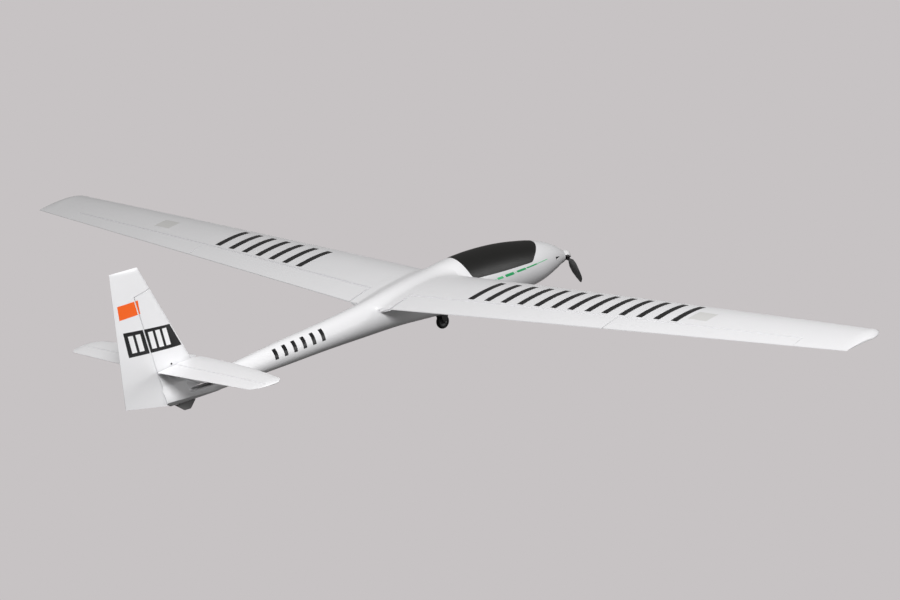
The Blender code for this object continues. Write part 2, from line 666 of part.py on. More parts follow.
def build_rudder():
    """The rudder, with a horn balance that runs forward over the fin."""
    rings = []
    for height in (-0.004, 0.030, 0.060, 0.100, 0.160, 0.210, BALANCE_HEIGHT + 0.004):
        half = tail_half(height, 0)
        start = half * math.tan(SURFACE_OPEN_UP)
        end = RUDDER_TE[0] + RUDDER_TE[1] * height
        steps = [start + (end - start) * t for t in (0.0, 0.3, 0.65, 1.0)]
        side = [(0.0002, 0.0)] + [(tail_half(height, a), a) for a in steps]
        ring = side + [(-x, a) for x, a in side[::-1]]
        rings.append([tail_point(x, height, a) for x, a in ring])
    rudder = loft("rudder", rings, "foam")
    upper = []
    for height in (BALANCE_HEIGHT + 0.0004, 0.275, 0.325):
        le = FIN_LE[0] + FIN_LE[1] * height
        upper.append(tail_ring(height, le, RUDDER_TE[0] + RUDDER_TE[1] * height))
    boolean(rudder, loft("balance", upper), "UNION")
    boolean(rudder, box("above_fin", (-0.1, 0.3, FIN_TOP_Z), (0.1, 0.8, 0.5)))
    under = [tail_point(x, h, a) for x, h, a in
             ((-0.1, 0.0, -0.02), (0.1, 0.0, -0.02), (0.1, 0.0436, 0.105), (-0.1, 0.0436, 0.105))]
    boolean(rudder, loft("under_rudder", [[p - HINGE_UP * 0.1 for p in under], under]))


# ---------------------------------------------------------------- tail linkages
def build_tail_linkages():
    """Servos on the tray drive long pushrods to horns on the elevator and the rudder."""
    hinge = elevator_axis(-0.0185)
    drop = Vector((0, 0, -ELEVATOR_HORN))
    station = ELEVATOR_HINGE
    skin = [stab_heights(0.0185, s)[0] - 0.0004 - hinge.z for s in (station + 0.0060, station + 0.0200)]
    outline = [(0.0060, skin[0]), (0.0200, skin[1]), (0.0190, skin[1] - 0.0018), (0.0110, skin[1] - 0.0030)]
    outline += [(p, q + drop.z) for p, q in arc(0, 0, 0.0020, 0.2, -math.pi - 0.3, 8)]
    matrix = Matrix(((0, 0, 1, hinge.x), (1, 0, 0, hinge.y), (0, 1, 0, hinge.z), (0, 0, 0, 1)))
    plate("elevator_horn", outline, 0.0016, matrix, "black_plastic")
    end = hinge + drop + Vector((-0.0024, 0, 0))
    path = [(-0.0075, along(0.4370), 0.0812), (-0.0090, along(0.60), 0.0650), (-0.0090, along(0.80), 0.0540),
            (-0.0060, along(0.955), 0.0400), (-0.0060, along(1.000), 0.0400), (-0.0125, along(1.035), 0.0500),
            tuple(end)]
    wire("elevator_pushrod", path, 0.0008, "steel")
    # rudder: the horn stands out to port
    height = RUDDER_ROD_HEIGHT
    half = tail_half(height, 0.010)
    outline = [(half + 0.0012, 0.0090), (half + 0.0004, 0.0210), (half + 0.0024, 0.0205),
               (half + 0.0034, 0.0120)]
    outline += [(p + RUDDER_HORN, q) for p, q in arc(0, 0, 0.0020, math.pi * 0.6, -math.pi * 0.65, 8)]
    outline += [(half + 0.0028, 0.0074)]
    base = tail_point(0, height, 0)
    matrix = Matrix((Vector((1, 0, 0)), HINGE_AFT, HINGE_UP)).transposed().to_4x4()
    matrix.translation = base
    plate("rudder_horn", outline, 0.0016, matrix, "black_plastic")
    end = base + Vector((RUDDER_HORN, 0, 0)) - HINGE_UP * 0.0046
    path = [(0.0075, along(0.4370), 0.0812), (0.0090, along(0.60), 0.0600), (0.0090, along(0.80), 0.0440),
            (0.0090, along(0.980), 0.0368), (0.0120, along(1.020), 0.0368), tuple(end)]
    wire("rudder_pushrod", path, 0.0008, "steel")
    for side, name in ((-1, "elevator"), (1, "rudder")):
        pivot = Vector((side * 0.0215, along(0.4370), 0.0790))
        box(f"{name}_servo", pivot + Vector((-0.0060, -0.0165, -0.0240)),
            pivot + Vector((0.0060, 0.0060, -0.0017)), "black_plastic", bevel=0.0006)
        tip = pivot - Vector((side * 0.0140, 0, 0))
        lever(f"{name}_servo_arm", pivot, tip, 0.0014, "white_plastic", (0, 0, 1))


# ---------------------------------------------------------------- power, propeller
def motor_point(station, x=0.0, z=0.0):
    return Vector((x, along(station), THRUST_Z + z))


def build_motor():
    place = motor_point(0.0)
    turned("motor_mount", [(0.0145, -0.0286), (0.0145, -0.0311), (0.0034, -0.0311), (0.0034, -0.0286)],
           place, "aluminium")
    turned("motor_stator", [(0.0115, -0.0315), (0.0115, -0.0340), (0.0095, -0.0340), (0.0095, -0.0600),
                            (0.0026, -0.0600), (0.0026, -0.0315)], place, "steel")
    turned("motor_bell", [(0.0, -0.0210), (0.0020, -0.0210), (0.0020, -0.0612), (0.0104, -0.0612),
                          (0.0104, -0.0360), (0.0128, -0.0360), (0.0128, -0.0640), (0.0, -0.0640)],
           place, "steel")
    turned("spinner", [(0.0, 0.0)] + [(0.0108 * math.sin(a) ** 0.8, -0.0108 * (1 - math.cos(a)))
                                     for a in (0.3, 0.6, 0.9, 1.2, math.pi / 2)] + [(0.0, -0.0108)],
           place, "white_plastic")


def hub_matrix(side):
    """Local X outwards along an arm, Y aft, Z along the blade's hinge pin."""
    roll = Matrix.Rotation(-HUB_ROLL, 4, "Y")
    return Matrix.Translation(motor_point(HUB_STATION)) @ roll @ Matrix.Diagonal((side, 1, side, 1))


def in_hub(side, obj):
    obj.data.transform(hub_matrix(side))
    return obj


def build_propeller():
    hub = rod("propeller_hub", motor_point(0.0112), motor_point(0.0205), 0.0090, "black_plastic", sides=20)
    boolean(hub, rod("shaft_socket", motor_point(0.0150), motor_point(0.0300), 0.0023), "DIFFERENCE")
    for side in (-1, 1):
        arm = in_hub(side, box(f"hub_arm_{side}", (0.0040, -0.0040, -0.0044), (0.0202, 0.0038, 0.0044)))
        fork = in_hub(side, box(f"hub_fork_{side}", (0.0112, -0.0100, -0.0028), (0.0300, 0.0100, 0.0028)))
        pin = in_hub(side, rod(f"hub_pin_{side}", (PIVOT_RADIUS, 0, -0.0040), (PIVOT_RADIUS, 0, 0.0040),
                               0.0014, sides=12))
        boolean(arm, fork)
        boolean(arm, pin, "UNION")
        boolean(hub, arm, "UNION")
        build_blade(side)


def build_blade(side):
    """A twisted blade whose round root turns on the hub pin, folded back by the sweep."""
    name = "propeller_blade_left" if side > 0 else "propeller_blade_right"
    rows = ((0.0020, 0.0022, 0.0026, 0), (0.0080, 0.0023, 0.0026, 0), (0.016, 0.0046, 0.0022, 30),
            (0.030, 0.0085, 0.0016, 27), (0.060, 0.0105, 0.0013, 20), (0.095, 0.0092, 0.0010, 14),
            (0.122, 0.0070, 0.0008, 11), (BLADE_LENGTH, 0.0048, 0.0006, 10))
    rings = []
    for reach, chord, thick, pitch in rows:
        ring = [(thick * math.sin(a), chord * math.cos(a)) for a in
                [2 * math.pi * k / 10 for k in range(10)]]
        c, s = math.cos(math.radians(pitch)), math.sin(math.radians(pitch))
        rings.append([Vector((reach, p * c + q * s, q * c - p * s)) for p, q in ring])
    blade = loft(name, rings, "black_plastic")
    root = rod(f"{name}_root", (0, 0, -0.0024), (0, 0, 0.0024), 0.0036, sides=20)
    sweep = Matrix.Rotation(BLADE_SWEEP, 4, "Z")
    place = hub_matrix(side) @ Matrix.Translation((PIVOT_RADIUS, 0, 0)) @ sweep
    bore = rod(f"{name}_bore", (0, 0, -0.01), (0, 0, 0.01), 0.0018, sides=12)
    for obj in (blade, root, bore):
        obj.data.transform(place)
    boolean(blade, root, "UNION")
    boolean(blade, bore)
    return blade


# ---------------------------------------------------------------- equipment
def build_equipment():
    inner = loft("tray_limit", [fuselage_section(s, WALL + 0.0005, 24) for s in
                                (0.095, 0.150, 0.200, 0.250, 0.300, 0.350, 0.400, 0.458)])
    tray = box("equipment_tray", (-0.070, along(0.100), 0.0570), (0.070, along(0.455), 0.0600), "plywood")
    boolean(tray, inner, "INTERSECT")
    for side in (-1, 1):
        low, high = ordered((side * 0.0152, along(0.4202), 0.05), (side * 0.0278, along(0.4433), 0.07))
        boolean(tray, box(f"servo_hole_{side}", low, high))
        low, high = ordered((side * 0.0168, along(0.1995), 0.05), (side * 0.0212, along(0.2205), 0.07))
        boolean(tray, box(f"strap_slot_{side}", low, high))
    box("battery", (-0.0170, along(0.155), 0.0603), (0.0170, along(0.265), 0.0870), "battery", bevel=0.002)
    box("speed_controller", (-0.0130, along(0.118), 0.0455), (0.0130, along(0.178), 0.0566), "grey_plastic",
        bevel=0.001)
    box("receiver", (-0.0115, along(0.300), 0.0603), (0.0115, along(0.345), 0.0745), "grey_plastic",
        bevel=0.001)
    outline = rounded_rectangle(0.0204, 0.0555, 0.0888, 0.003)
    hole = rounded_rectangle(0.0192, 0.0567, 0.0875, 0.002)
    matrix = Matrix(((1, 0, 0, 0), (0, 0, 1, along(0.210)), (0, 1, 0, 0), (0, 0, 0, 1)))
    plate("battery_strap", outline, 0.020, matrix, "strap", [hole])


def rounded_rectangle(half, bottom, top, radius):
    points = arc(half - radius, top - radius, radius, 0, math.pi / 2, 4)
    points += arc(-half + radius, top - radius, radius, math.pi / 2, math.pi, 4)
    points += arc(-half + radius, bottom + radius, radius, math.pi, 3 * math.pi / 2, 4)
    return points + arc(half - radius, bottom + radius, radius, 3 * math.pi / 2, 2 * math.pi, 4)


# ---------------------------------------------------------------- undercarriage
def build_wheel():
    centre = Vector((0, along(WHEEL_STATION), WHEEL_RADIUS))
    half = WHEEL_WIDTH / 2
    shoulder = [(0.0095, half * 0.75), (0.0132, half), (WHEEL_RADIUS, TREAD_HALF)]
    profile = shoulder + [(radius, -height) for radius, height in reversed(shoulder)]
    tyre = turned("tyre", profile, centre, "rubber", steps=32)
    hub = turned("wheel_hub", [(0.0092, half * 0.7), (0.0092, -half * 0.7), (0.0060, -half * 0.5),
                               (0.0040, -half * 0.9), (0.0019, -half * 0.9), (0.0019, half * 0.9),
                               (0.0040, half * 0.9), (0.0060, half * 0.5)], centre, "grey_plastic", steps=32)
    for obj in (tyre, hub):
        obj.rotation_euler = (0, math.pi / 2, 0)
    reach = Vector((0.0108, 0, 0))
    rod("wheel_axle", centre - reach, centre + reach, 0.0015, "steel", sides=12)
    bracket = box("wheel_bracket", (-0.0128, along(WHEEL_STATION - 0.021), 0.0322),
                  (0.0128, along(WHEEL_STATION + 0.021), 0.0354), "black_plastic")
    for side in (-1, 1):
        outline = [(WHEEL_STATION - 0.011, 0.0335), (WHEEL_STATION - 0.0042, WHEEL_RADIUS - 0.001)]
        outline += [(WHEEL_STATION + y, WHEEL_RADIUS + z)
                    for y, z in arc(0, 0, 0.0042, -math.pi + 0.3, -0.3, 7)]
        outline += [(WHEEL_STATION + 0.0042, WHEEL_RADIUS - 0.001), (WHEEL_STATION + 0.011, 0.0335)]
        cheek = side_prism(f"cheek_{side}", outline, 0.0009, centre_x=side * 0.0082)
        boolean(bracket, cheek, "UNION")
    boolean(bracket, rod("axle_bore", centre - reach * 2, centre + reach * 2, 0.0018, sides=12))


def build_skid():
    side_prism("tail_skid", SKID_SIDE, 0.0022, "grey_plastic")


def main():
    build_fuselage()
    build_canopy()
    build_wings()
    joiner_rod("wing_joiner_tube", JOINER_RADIUS, JOINER_HALF, "carbon")
    build_tailplane()
    build_rudder()
    build_tail_linkages()
    build_motor()
    build_propeller()
    build_equipment()
    build_wheel()
    build_skid()


clear_scene()
PARTS = new_collection("rc_sailplane")
CUTTERS = new_collection("cutters")
main()
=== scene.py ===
"""Looks of a 2.5 m electric foam sailplane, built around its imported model.

Metres, +Z up, nose towards -Y, starboard towards -X. A station is a distance aft of the
spinner's tip.
"""

import math

import bmesh
import bpy
import numpy as np
from mathutils import Matrix, Vector


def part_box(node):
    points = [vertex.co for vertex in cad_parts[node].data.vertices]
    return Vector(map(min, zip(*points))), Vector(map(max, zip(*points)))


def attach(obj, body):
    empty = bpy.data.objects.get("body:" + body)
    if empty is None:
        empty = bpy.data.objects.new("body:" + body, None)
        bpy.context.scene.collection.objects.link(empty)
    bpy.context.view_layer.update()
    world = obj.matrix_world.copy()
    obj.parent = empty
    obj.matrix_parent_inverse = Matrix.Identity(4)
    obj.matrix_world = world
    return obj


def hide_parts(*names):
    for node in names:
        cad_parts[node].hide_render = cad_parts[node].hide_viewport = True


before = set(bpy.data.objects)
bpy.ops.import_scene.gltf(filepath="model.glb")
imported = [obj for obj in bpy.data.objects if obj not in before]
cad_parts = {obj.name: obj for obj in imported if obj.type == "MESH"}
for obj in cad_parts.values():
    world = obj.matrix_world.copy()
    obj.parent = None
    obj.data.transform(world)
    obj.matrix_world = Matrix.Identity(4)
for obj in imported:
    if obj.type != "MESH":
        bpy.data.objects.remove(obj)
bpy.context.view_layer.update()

# ---------------------------------------------------------------- shape of the airframe, as in the frame
SPAN = 2.5
LENGTH = 1.214
WALL = 0.006
THRUST_Z = 0.0755
ROOT_X = 0.0620
TIP_ROUNDING = 0.030
TIP_SWEEP = 0.045
WING_LE = 0.356
WING_INCIDENCE = 0.085
FLAP_X = (0.0660, 0.6452)
AILERON_X = (0.6468, 1.1220)
FLAP_HINGE = (0.5043, 0.4736)
AILERON_HINGE = (0.4736, 0.4519)
JOINER_STATION = 0.418
JOINER_Z = 0.1140
STAB_ROOT_X = 0.0108
STAB_TIP_X = 0.299
STAB_Z = 0.0986
STAB_DROOP = 0.0344
STAB_LE = 1.016
ELEVATOR_HINGE = 1.0846
ELEVATOR_X = (0.0128, 0.2900)
STAB_TUBE_STATION = 1.052
HINGE_FOOT = (1.1164, 0.0161)
HINGE_LEAN = 0.205
FIN_LE = (-0.11294, 0.277)
RUDDER_TE = (0.09558, -0.1919)
BALANCE_HEIGHT = 0.2430
FIN_TOP_Z = 0.3111
OPEN_ANGLE = math.radians(30)
FLAP_OPEN_DOWN = math.radians(43)
HINGE_GAP = 0.0005
WING_THICKNESS = 0.115
WING_CAMBER = 0.028
CAMBER_PLACE = 0.40
STAB_THICKNESS = 0.090
FIN_THICKNESS = 0.100
FOOT_HEIGHT = 0.045
JOINER_BORE = 0.0063
STAB_TUBE_BORE = 0.0023
CANOPY_WALL = 0.0022
CORNER_RADIUS = 0.006
WHEEL_STATION = 0.372
WHEEL_RADIUS = 0.0155
HUB_STATION = 0.0165
HUB_ROLL = math.radians(10.8)
PIVOT_RADIUS = 0.0160
BLADE_LENGTH = 0.130
BLADE_SWEEP = math.radians(31.3)

FUSELAGE = np.array((
    (0.0225, 0.0615, 0.0900, 0.0142), (0.032, 0.0595, 0.0970, 0.0185), (0.050, 0.0527, 0.1079, 0.0262),
    (0.100, 0.0374, 0.1274, 0.0415), (0.150, 0.0313, 0.1373, 0.0490), (0.200, 0.0284, 0.1436, 0.0525),
    (0.250, 0.0277, 0.1461, 0.0540), (0.300, 0.0296, 0.1454, 0.0530), (0.350, 0.0317, 0.1411, 0.0505),
    (0.400, 0.0330, 0.1332, 0.0465), (0.500, 0.0363, 0.1191, 0.0385), (0.600, 0.0344, 0.1024, 0.0325),
    (0.700, 0.0318, 0.0902, 0.0285), (0.800, 0.0271, 0.0801, 0.0258), (0.900, 0.0231, 0.0677, 0.0218),
    (1.000, 0.0190, 0.0558, 0.0178), (1.060, 0.0173, 0.0493, 0.0145), (1.130, 0.0165, 0.0430, 0.0100)))
CANOPY_SIDE = ((0.3165, 0.1000), (0.2470, 0.0980), (0.1470, 0.0968), (0.1362, 0.1068), (0.1233, 0.1159),
               (0.1093, 0.1262), (0.1030, 0.1310), (0.0985, 0.1600), (0.3340, 0.1600), (0.3325, 0.1400),
               (0.3290, 0.1244), (0.3230, 0.1085))


SIDES = ((1, "left"), (-1, "right"))


def along(station):
    return station - LENGTH / 2


# ---------------------------------------------------------------- mesh helpers
CUTTERS = bpy.data.collections.new("cutters")
bpy.context.scene.collection.children.link(CUTTERS)


def link(obj, cutter=False):
    (CUTTERS if cutter else bpy.context.scene.collection).objects.link(obj)
    return obj


def from_bmesh(name, bm, cutter=False, sharp=40):
    bmesh.ops.recalc_face_normals(bm, faces=bm.faces)
    mesh = bpy.data.meshes.new(name)
    bm.to_mesh(mesh)
    bm.free()
    mesh.shade_smooth()
    mesh.set_sharp_from_angle(angle=math.radians(sharp))
    return link(bpy.data.objects.new(name, mesh), cutter)


def skin(name, grid, cutter=False, sharp=40):
    """A closed body from rows of points: each row a closed ring, with capped ends."""
    grid = np.asarray(grid, dtype=float)
    rows, count, _ = grid.shape
    faces = []
    for i in range(rows - 1):
        for j in range(count):
            k = (j + 1) % count
            faces.append((i * count + j, i * count + k, (i + 1) * count + k, (i + 1) * count + j))
    faces.append(tuple(range(count - 1, -1, -1)))
    faces.append(tuple(range((rows - 1) * count, rows * count)))
    mesh = bpy.data.meshes.new(name)
    mesh.from_pydata(grid.reshape(-1, 3).tolist(), [], faces)
    bm = bmesh.new()
    bm.from_mesh(mesh)
    bpy.data.meshes.remove(mesh)
    return from_bmesh(name, bm, cutter, sharp)


def block(name, low, high, cutter=False, bevel=0.0):
    bm = bmesh.new()
    bmesh.ops.create_cube(bm, size=1.0)
    bmesh.ops.scale(bm, vec=Vector(high) - Vector(low), verts=bm.verts)
    bmesh.ops.translate(bm, vec=(Vector(high) + Vector(low)) / 2, verts=bm.verts)
    if bevel:
        bmesh.ops.bevel(bm, geom=list(bm.edges), offset=bevel, segments=3, profile=0.5, affect="EDGES")
    return from_bmesh(name, bm, cutter, 50)


def pocket(name, low, high, bevel=0.0):
    """A block cutter between two corners given as (x, station, z)."""
    return block(name, (low[0], along(low[1]), low[2]), (high[0], along(high[1]), high[2]), True, bevel)


def rod(name, start, end, radius, cutter=False, sides=32):
    start, end = Vector(start), Vector(end)
    bm = bmesh.new()
    bmesh.ops.create_cone(bm, cap_ends=True, segments=sides, radius1=radius, radius2=radius,
                          depth=(end - start).length)
    turn = Vector((0, 0, 1)).rotation_difference(end - start).to_matrix().to_4x4()
    bmesh.ops.transform(bm, matrix=Matrix.Translation((start + end) / 2) @ turn, verts=bm.verts)
    return from_bmesh(name, bm, cutter)


def turned(name, profile, matrix, steps=48):
    """A turned body about the local Z axis, from (radius, height) points top to bottom."""
    bm = bmesh.new()
    closed = profile[0][0] > 0
    turns = [2 * math.pi * i / steps for i in range(steps)]
    rings = []
    for r, z in profile:
        if r == 0:
            rings.append([bm.verts.new((0, 0, z))])
        else:
            rings.append([bm.verts.new((r * math.cos(a), r * math.sin(a), z)) for a in turns])
    pairs = list(zip(rings, rings[1:])) + ([(rings[-1], rings[0])] if closed else [])
    for a, b in pairs:
        for i in range(steps):
            j = (i + 1) % steps
            quad = [a[i % len(a)], a[j % len(a)], b[j % len(b)], b[i % len(b)]]
            unique = list(dict.fromkeys(quad))
            if len(unique) > 2:
                bm.faces.new(unique)
    bmesh.ops.transform(bm, matrix=matrix, verts=bm.verts)
    return from_bmesh(name, bm, sharp=35)


def prism(name, outline, matrix, thickness, cutter=False):
    """A flat outline in the local XY plane, extruded both ways along local Z."""
    bm = bmesh.new()
    low = [bm.verts.new((x, y, -thickness / 2)) for x, y in outline]
    high = [bm.verts.new((x, y, thickness / 2)) for x, y in outline]
    bm.faces.new(low[::-1])
    bm.faces.new(high)
    for i in range(len(low)):
        j = (i + 1) % len(low)
        bm.faces.new((low[i], low[j], high[j], high[i]))
    bmesh.ops.transform(bm, matrix=matrix, verts=bm.verts)
    return from_bmesh(name, bm, cutter, 35)


SIDE_VIEW = Matrix(((0, 0, 1, 0), (1, 0, 0, -LENGTH / 2), (0, 1, 0, 0), (0, 0, 0, 1)))


def combine(obj, operation, *others):
    """Apply a Boolean with one or more other bodies, which are then removed."""
    group = bpy.data.collections.new("operands")
    for other in others:
        group.objects.link(other)
    mod = obj.modifiers.new("cut", "BOOLEAN")
    mod.operation = operation
    mod.solver = "EXACT"
    mod.operand_type = "COLLECTION"
    mod.collection = group
    bake(obj)
    for other in others:
        bpy.data.objects.remove(other, do_unlink=True)
    bpy.data.collections.remove(group)
    return obj


def bake(obj):
    """Turn an object's modifiers into its mesh."""
    bpy.context.view_layer.update()
    evaluated = obj.evaluated_get(bpy.context.evaluated_depsgraph_get())
    mesh = bpy.data.meshes.new_from_object(evaluated)
    obj.modifiers.clear()
    old = obj.data
    obj.data = mesh
    bpy.data.meshes.remove(old)
    return obj


def smooth(obj, angle=40):
    obj.data.shade_smooth()
    obj.data.set_sharp_from_angle(angle=math.radians(angle))
    return obj


def keep_side(obj, side):
    """Split a body down its middle plane and close the half that stays."""
    bm = bmesh.new()
    bm.from_mesh(obj.data)
    everything = list(bm.verts) + list(bm.edges) + list(bm.faces)
    bmesh.ops.bisect_plane(bm, geom=everything, plane_co=(side * 0.0001, 0, 0), plane_no=(side, 0, 0),
                           clear_inner=True)
    bmesh.ops.triangle_fill(bm, edges=[e for e in bm.edges if e.is_boundary], use_beauty=True)
    bmesh.ops.recalc_face_normals(bm, faces=bm.faces)
    bm.to_mesh(obj.data)
    bm.free()
    return obj


def duplicate(obj, name):
    copy = obj.copy()
    copy.data = obj.data.copy()
    copy.name = name
    return link(copy)


# ---------------------------------------------------------------- section formulas
def smooth_row(column, stations):
    """A fuselage outline read smoothly through its stations."""
    x, y = FUSELAGE[:, 0], FUSELAGE[:, column]
    slope = np.gradient(y, x)
    stations = np.clip(np.asarray(stations, dtype=float), x[0], x[-1])
    i = np.clip(np.searchsorted(x, stations) - 1, 0, len(x) - 2)
    h = x[i + 1] - x[i]
    t = (stations - x[i]) / h
    a, b = 2 * t ** 3 - 3 * t ** 2 + 1, t ** 3 - 2 * t ** 2 + t
    c, d = -2 * t ** 3 + 3 * t ** 2, t ** 3 - t ** 2
    return a * y[i] + b * h * slope[i] + c * y[i + 1] + d * h * slope[i + 1]


def fuselage_shape(stations):
    """Middle height, half height and half width at stations."""
    bottom, top, half = (smooth_row(k, stations) for k in (1, 2, 3))
    return (bottom + top) / 2, (top - bottom) / 2, half


def plain_rings(stations, inset=0.0, count=96):
    middle, height, half = fuselage_shape(stations)
    angle = 2 * np.pi * (np.arange(count) + 0.5) / count
    x = (half - inset)[:, None] * np.cos(angle)
    z = middle[:, None] + (height - inset)[:, None] * np.sin(angle)
    y = np.broadcast_to((np.asarray(stations) - LENGTH / 2)[:, None], x.shape)
    return np.stack((x, y, z), -1)


def tip_rounding(x):
    u = np.clip((x - SPAN / 2 + TIP_ROUNDING) / TIP_ROUNDING, 0, 1)
    return 1 - np.sqrt(1 - u ** 2)


def wing_le(x):
    return WING_LE + 0.001 * x + TIP_SWEEP * tip_rounding(x)


def wing_te(x):
    return 0.568 - 0.069 * x - 0.0075 * x * x


def half_thickness(f, ratio):
    return 5 * ratio * (0.2969 * np.sqrt(f) - 0.126 * f - 0.3516 * f ** 2 + 0.2843 * f ** 3
                        - 0.1015 * f ** 4) + 0.0035 * f


def camber_line(f):
    front = WING_CAMBER / CAMBER_PLACE ** 2 * (2 * CAMBER_PLACE * f - f * f)
    back = WING_CAMBER / (1 - CAMBER_PLACE) ** 2 * (1 - 2 * CAMBER_PLACE + 2 * CAMBER_PLACE * f - f * f)
    return np.where(f < CAMBER_PLACE, front, back)


def wing_heights(x, station):
    """Lower and upper height of the wing at distance x from the centre line."""
    le = wing_le(x)
    chord = wing_te(x) - le
    f = np.clip((station - le) / chord, 0, 1)
    spine = 0.1104 + 0.0385 * x - 0.0046 * x * x
    middle = spine - WING_INCIDENCE * (station - WING_LE) + camber_line(f) * chord
    half = half_thickness(f, WING_THICKNESS) * chord * (1 - 0.75 * tip_rounding(x))
    return middle - half, middle + half


def hinge_station(x):
    flap = FLAP_HINGE[0] + (FLAP_HINGE[1] - FLAP_HINGE[0]) * (x - FLAP_X[0]) / (FLAP_X[1] - FLAP_X[0])
    run = (x - AILERON_X[0]) / (AILERON_X[1] - AILERON_X[0])
    aileron = AILERON_HINGE[0] + (AILERON_HINGE[1] - AILERON_HINGE[0]) * run
    return np.where(np.asarray(x) <= AILERON_X[0], flap, aileron)


def hinge_height(x, ends):
    """Height of the straight hinge axis of a surface between two places along the span."""
    z = [sum(wing_heights(e, float(hinge_station(e)))) / 2 for e in ends]
    return z[0] + (z[1] - z[0]) * (x - ends[0]) / (ends[1] - ends[0])


def stab_edges(x):
    u = np.clip((x - 0.275) / (STAB_TIP_X - 0.275), 0, 1)
    rounding = 1 - np.sqrt(1 - u ** 2)
    return STAB_LE + 0.6 * x ** 2.5 + 0.022 * rounding, 1.132 - 0.042 * (x - 0.0125) - 0.045 * rounding


def stab_heights(x, station):
    le, te = stab_edges(x)
    chord = te - le
    f = np.clip((station - le) / chord, 0, 1)
    middle = STAB_Z - STAB_DROOP * (station - STAB_LE)
    half = half_thickness(f, STAB_THICKNESS) * chord
    return middle - half, middle + half


def elevator_axis(x):
    return Vector((x, along(ELEVATOR_HINGE), STAB_Z - STAB_DROOP * (ELEVATOR_HINGE - STAB_LE)))


LEAN_LENGTH = math.hypot(1, HINGE_LEAN)
HINGE_UP = np.array((0, HINGE_LEAN, 1)) / LEAN_LENGTH
HINGE_AFT = np.array((0, 1, -HINGE_LEAN)) / LEAN_LENGTH
HINGE_BASE = np.array((0, along(HINGE_FOOT[0]), HINGE_FOOT[1]))


def tail_point(x, height, aft):
    x, height, aft = np.broadcast_arrays(x, height, aft)
    place = HINGE_BASE + height[..., None] * HINGE_UP + aft[..., None] * HINGE_AFT
    place[..., 0] = x
    return place


def tail_le(height):
    return FIN_LE[0] + FIN_LE[1] * height


def tail_te(height):
    return RUDDER_TE[0] + RUDDER_TE[1] * height


def tail_half(height, aft):
    """Half thickness of the fin and rudder."""
    le, te = tail_le(height), tail_te(height)
    f = np.clip((aft - le) / (te - le), 0, 1)
    half = half_thickness(f, FIN_THICKNESS) * (te - le)
    foot = 0.0035 * np.exp(-(np.maximum(height, 0.0) / FOOT_HEIGHT) ** 2)
    return half + foot * np.maximum(0.0, 1 - np.maximum(aft, 0.0) / 0.09)


def crowded(start, end, count):
    """Values from start to end, closer together at the start."""
    return start + (end - start) * np.linspace(0, 1, count) ** 2.0


def section_row(side, x, edges, count, heights):
    """A whole section at distance x, from its leading edge over the top and back underneath."""
    stations = crowded(*edges, count)
    low, high = heights(x, stations)
    upper = np.stack((stations, high), -1)
    lower = np.stack((stations, low), -1)[::-1]
    return [(side * x, along(s), z) for s, z in np.concatenate((upper, lower[:-1]))]


def bevelled_row(side, x, hinge, z, starts, back, count, heights):
    """A control surface's section, bevelled above and below its hinge."""
    upper, lower = (np.linspace(start, back, count) for start in starts)
    ring = [(hinge, z + 0.0002)] + list(zip(upper, heights(x, upper)[1]))
    ring += list(zip(lower[::-1], heights(x, lower[::-1])[0])) + [(hinge, z - 0.0002)]
    return [(side * x, along(s), h) for s, h in ring]


def mirrored(flank_points):
    """A ring from the points of one flank and their mirror image."""
    return np.concatenate((flank_points, flank_points[:0:-1] * np.array((-1, 1, 1))))


# ---------------------------------------------------------------- materials
MATERIALS = {}


def set_inputs(node, values):
    for key, value in values.items():
        node.inputs[key].default_value = value


def add_finish(name, colour, roughness, metallic=0.0, coat=0.0, bump=None, mottle=0.0, mottle_scale=14.0):
    """A Principled material whose colour drifts slightly and whose surface carries a fine relief.

    bump is (kind, scale, strength, depth): cells for foam beads, noise for cast or moulded skin."""
    mat = MATERIALS[name] = bpy.data.materials.new(name)
    mat.use_nodes = True
    nodes, links = mat.node_tree.nodes, mat.node_tree.links
    shader = nodes["Principled BSDF"]
    set_inputs(shader, {"Metallic": metallic, "Coat Weight": coat})
    where = nodes.new("ShaderNodeTexCoord")
    noise = nodes.new("ShaderNodeTexNoise")
    set_inputs(noise, {"Scale": mottle_scale, "Detail": 4.0})
    links.new(where.outputs["Object"], noise.inputs["Vector"])
    ramp = nodes.new("ShaderNodeMapRange")
    set_inputs(ramp, {"To Min": 1.0 - mottle, "To Max": 1.0 + mottle})
    links.new(noise.outputs["Fac"], ramp.inputs["Value"])
    scale = nodes.new("ShaderNodeVectorMath")
    scale.operation = "SCALE"
    scale.inputs[0].default_value = colour
    links.new(ramp.outputs["Result"], scale.inputs["Scale"])
    links.new(scale.outputs["Vector"], shader.inputs["Base Color"])
    rough = nodes.new("ShaderNodeMapRange")
    set_inputs(rough, {"To Min": max(0.02, roughness - 0.06), "To Max": roughness + 0.06})
    links.new(noise.outputs["Fac"], rough.inputs["Value"])
    links.new(rough.outputs["Result"], shader.inputs["Roughness"])
    if bump:
        kind, size, strength, depth = bump
        relief = nodes.new("ShaderNodeBump")
        set_inputs(relief, {"Strength": strength, "Distance": depth})
        if kind == "cells":
            source = nodes.new("ShaderNodeTexVoronoi")
            source.feature = "SMOOTH_F1"
            source.inputs["Smoothness"].default_value = 0.6
            output = "Distance"
        elif kind == "weave":
            source = nodes.new("ShaderNodeTexWave")
            source.inputs["Distortion"].default_value = 0.6
            output = "Fac"
        else:
            source = nodes.new("ShaderNodeTexNoise")
            source.inputs["Detail"].default_value = 3.0
            output = "Fac"
        source.inputs["Scale"].default_value = size
        links.new(where.outputs["Object"], source.inputs["Vector"])
        links.new(source.outputs[output], relief.inputs["Height"])
        links.new(relief.outputs["Normal"], shader.inputs["Normal"])


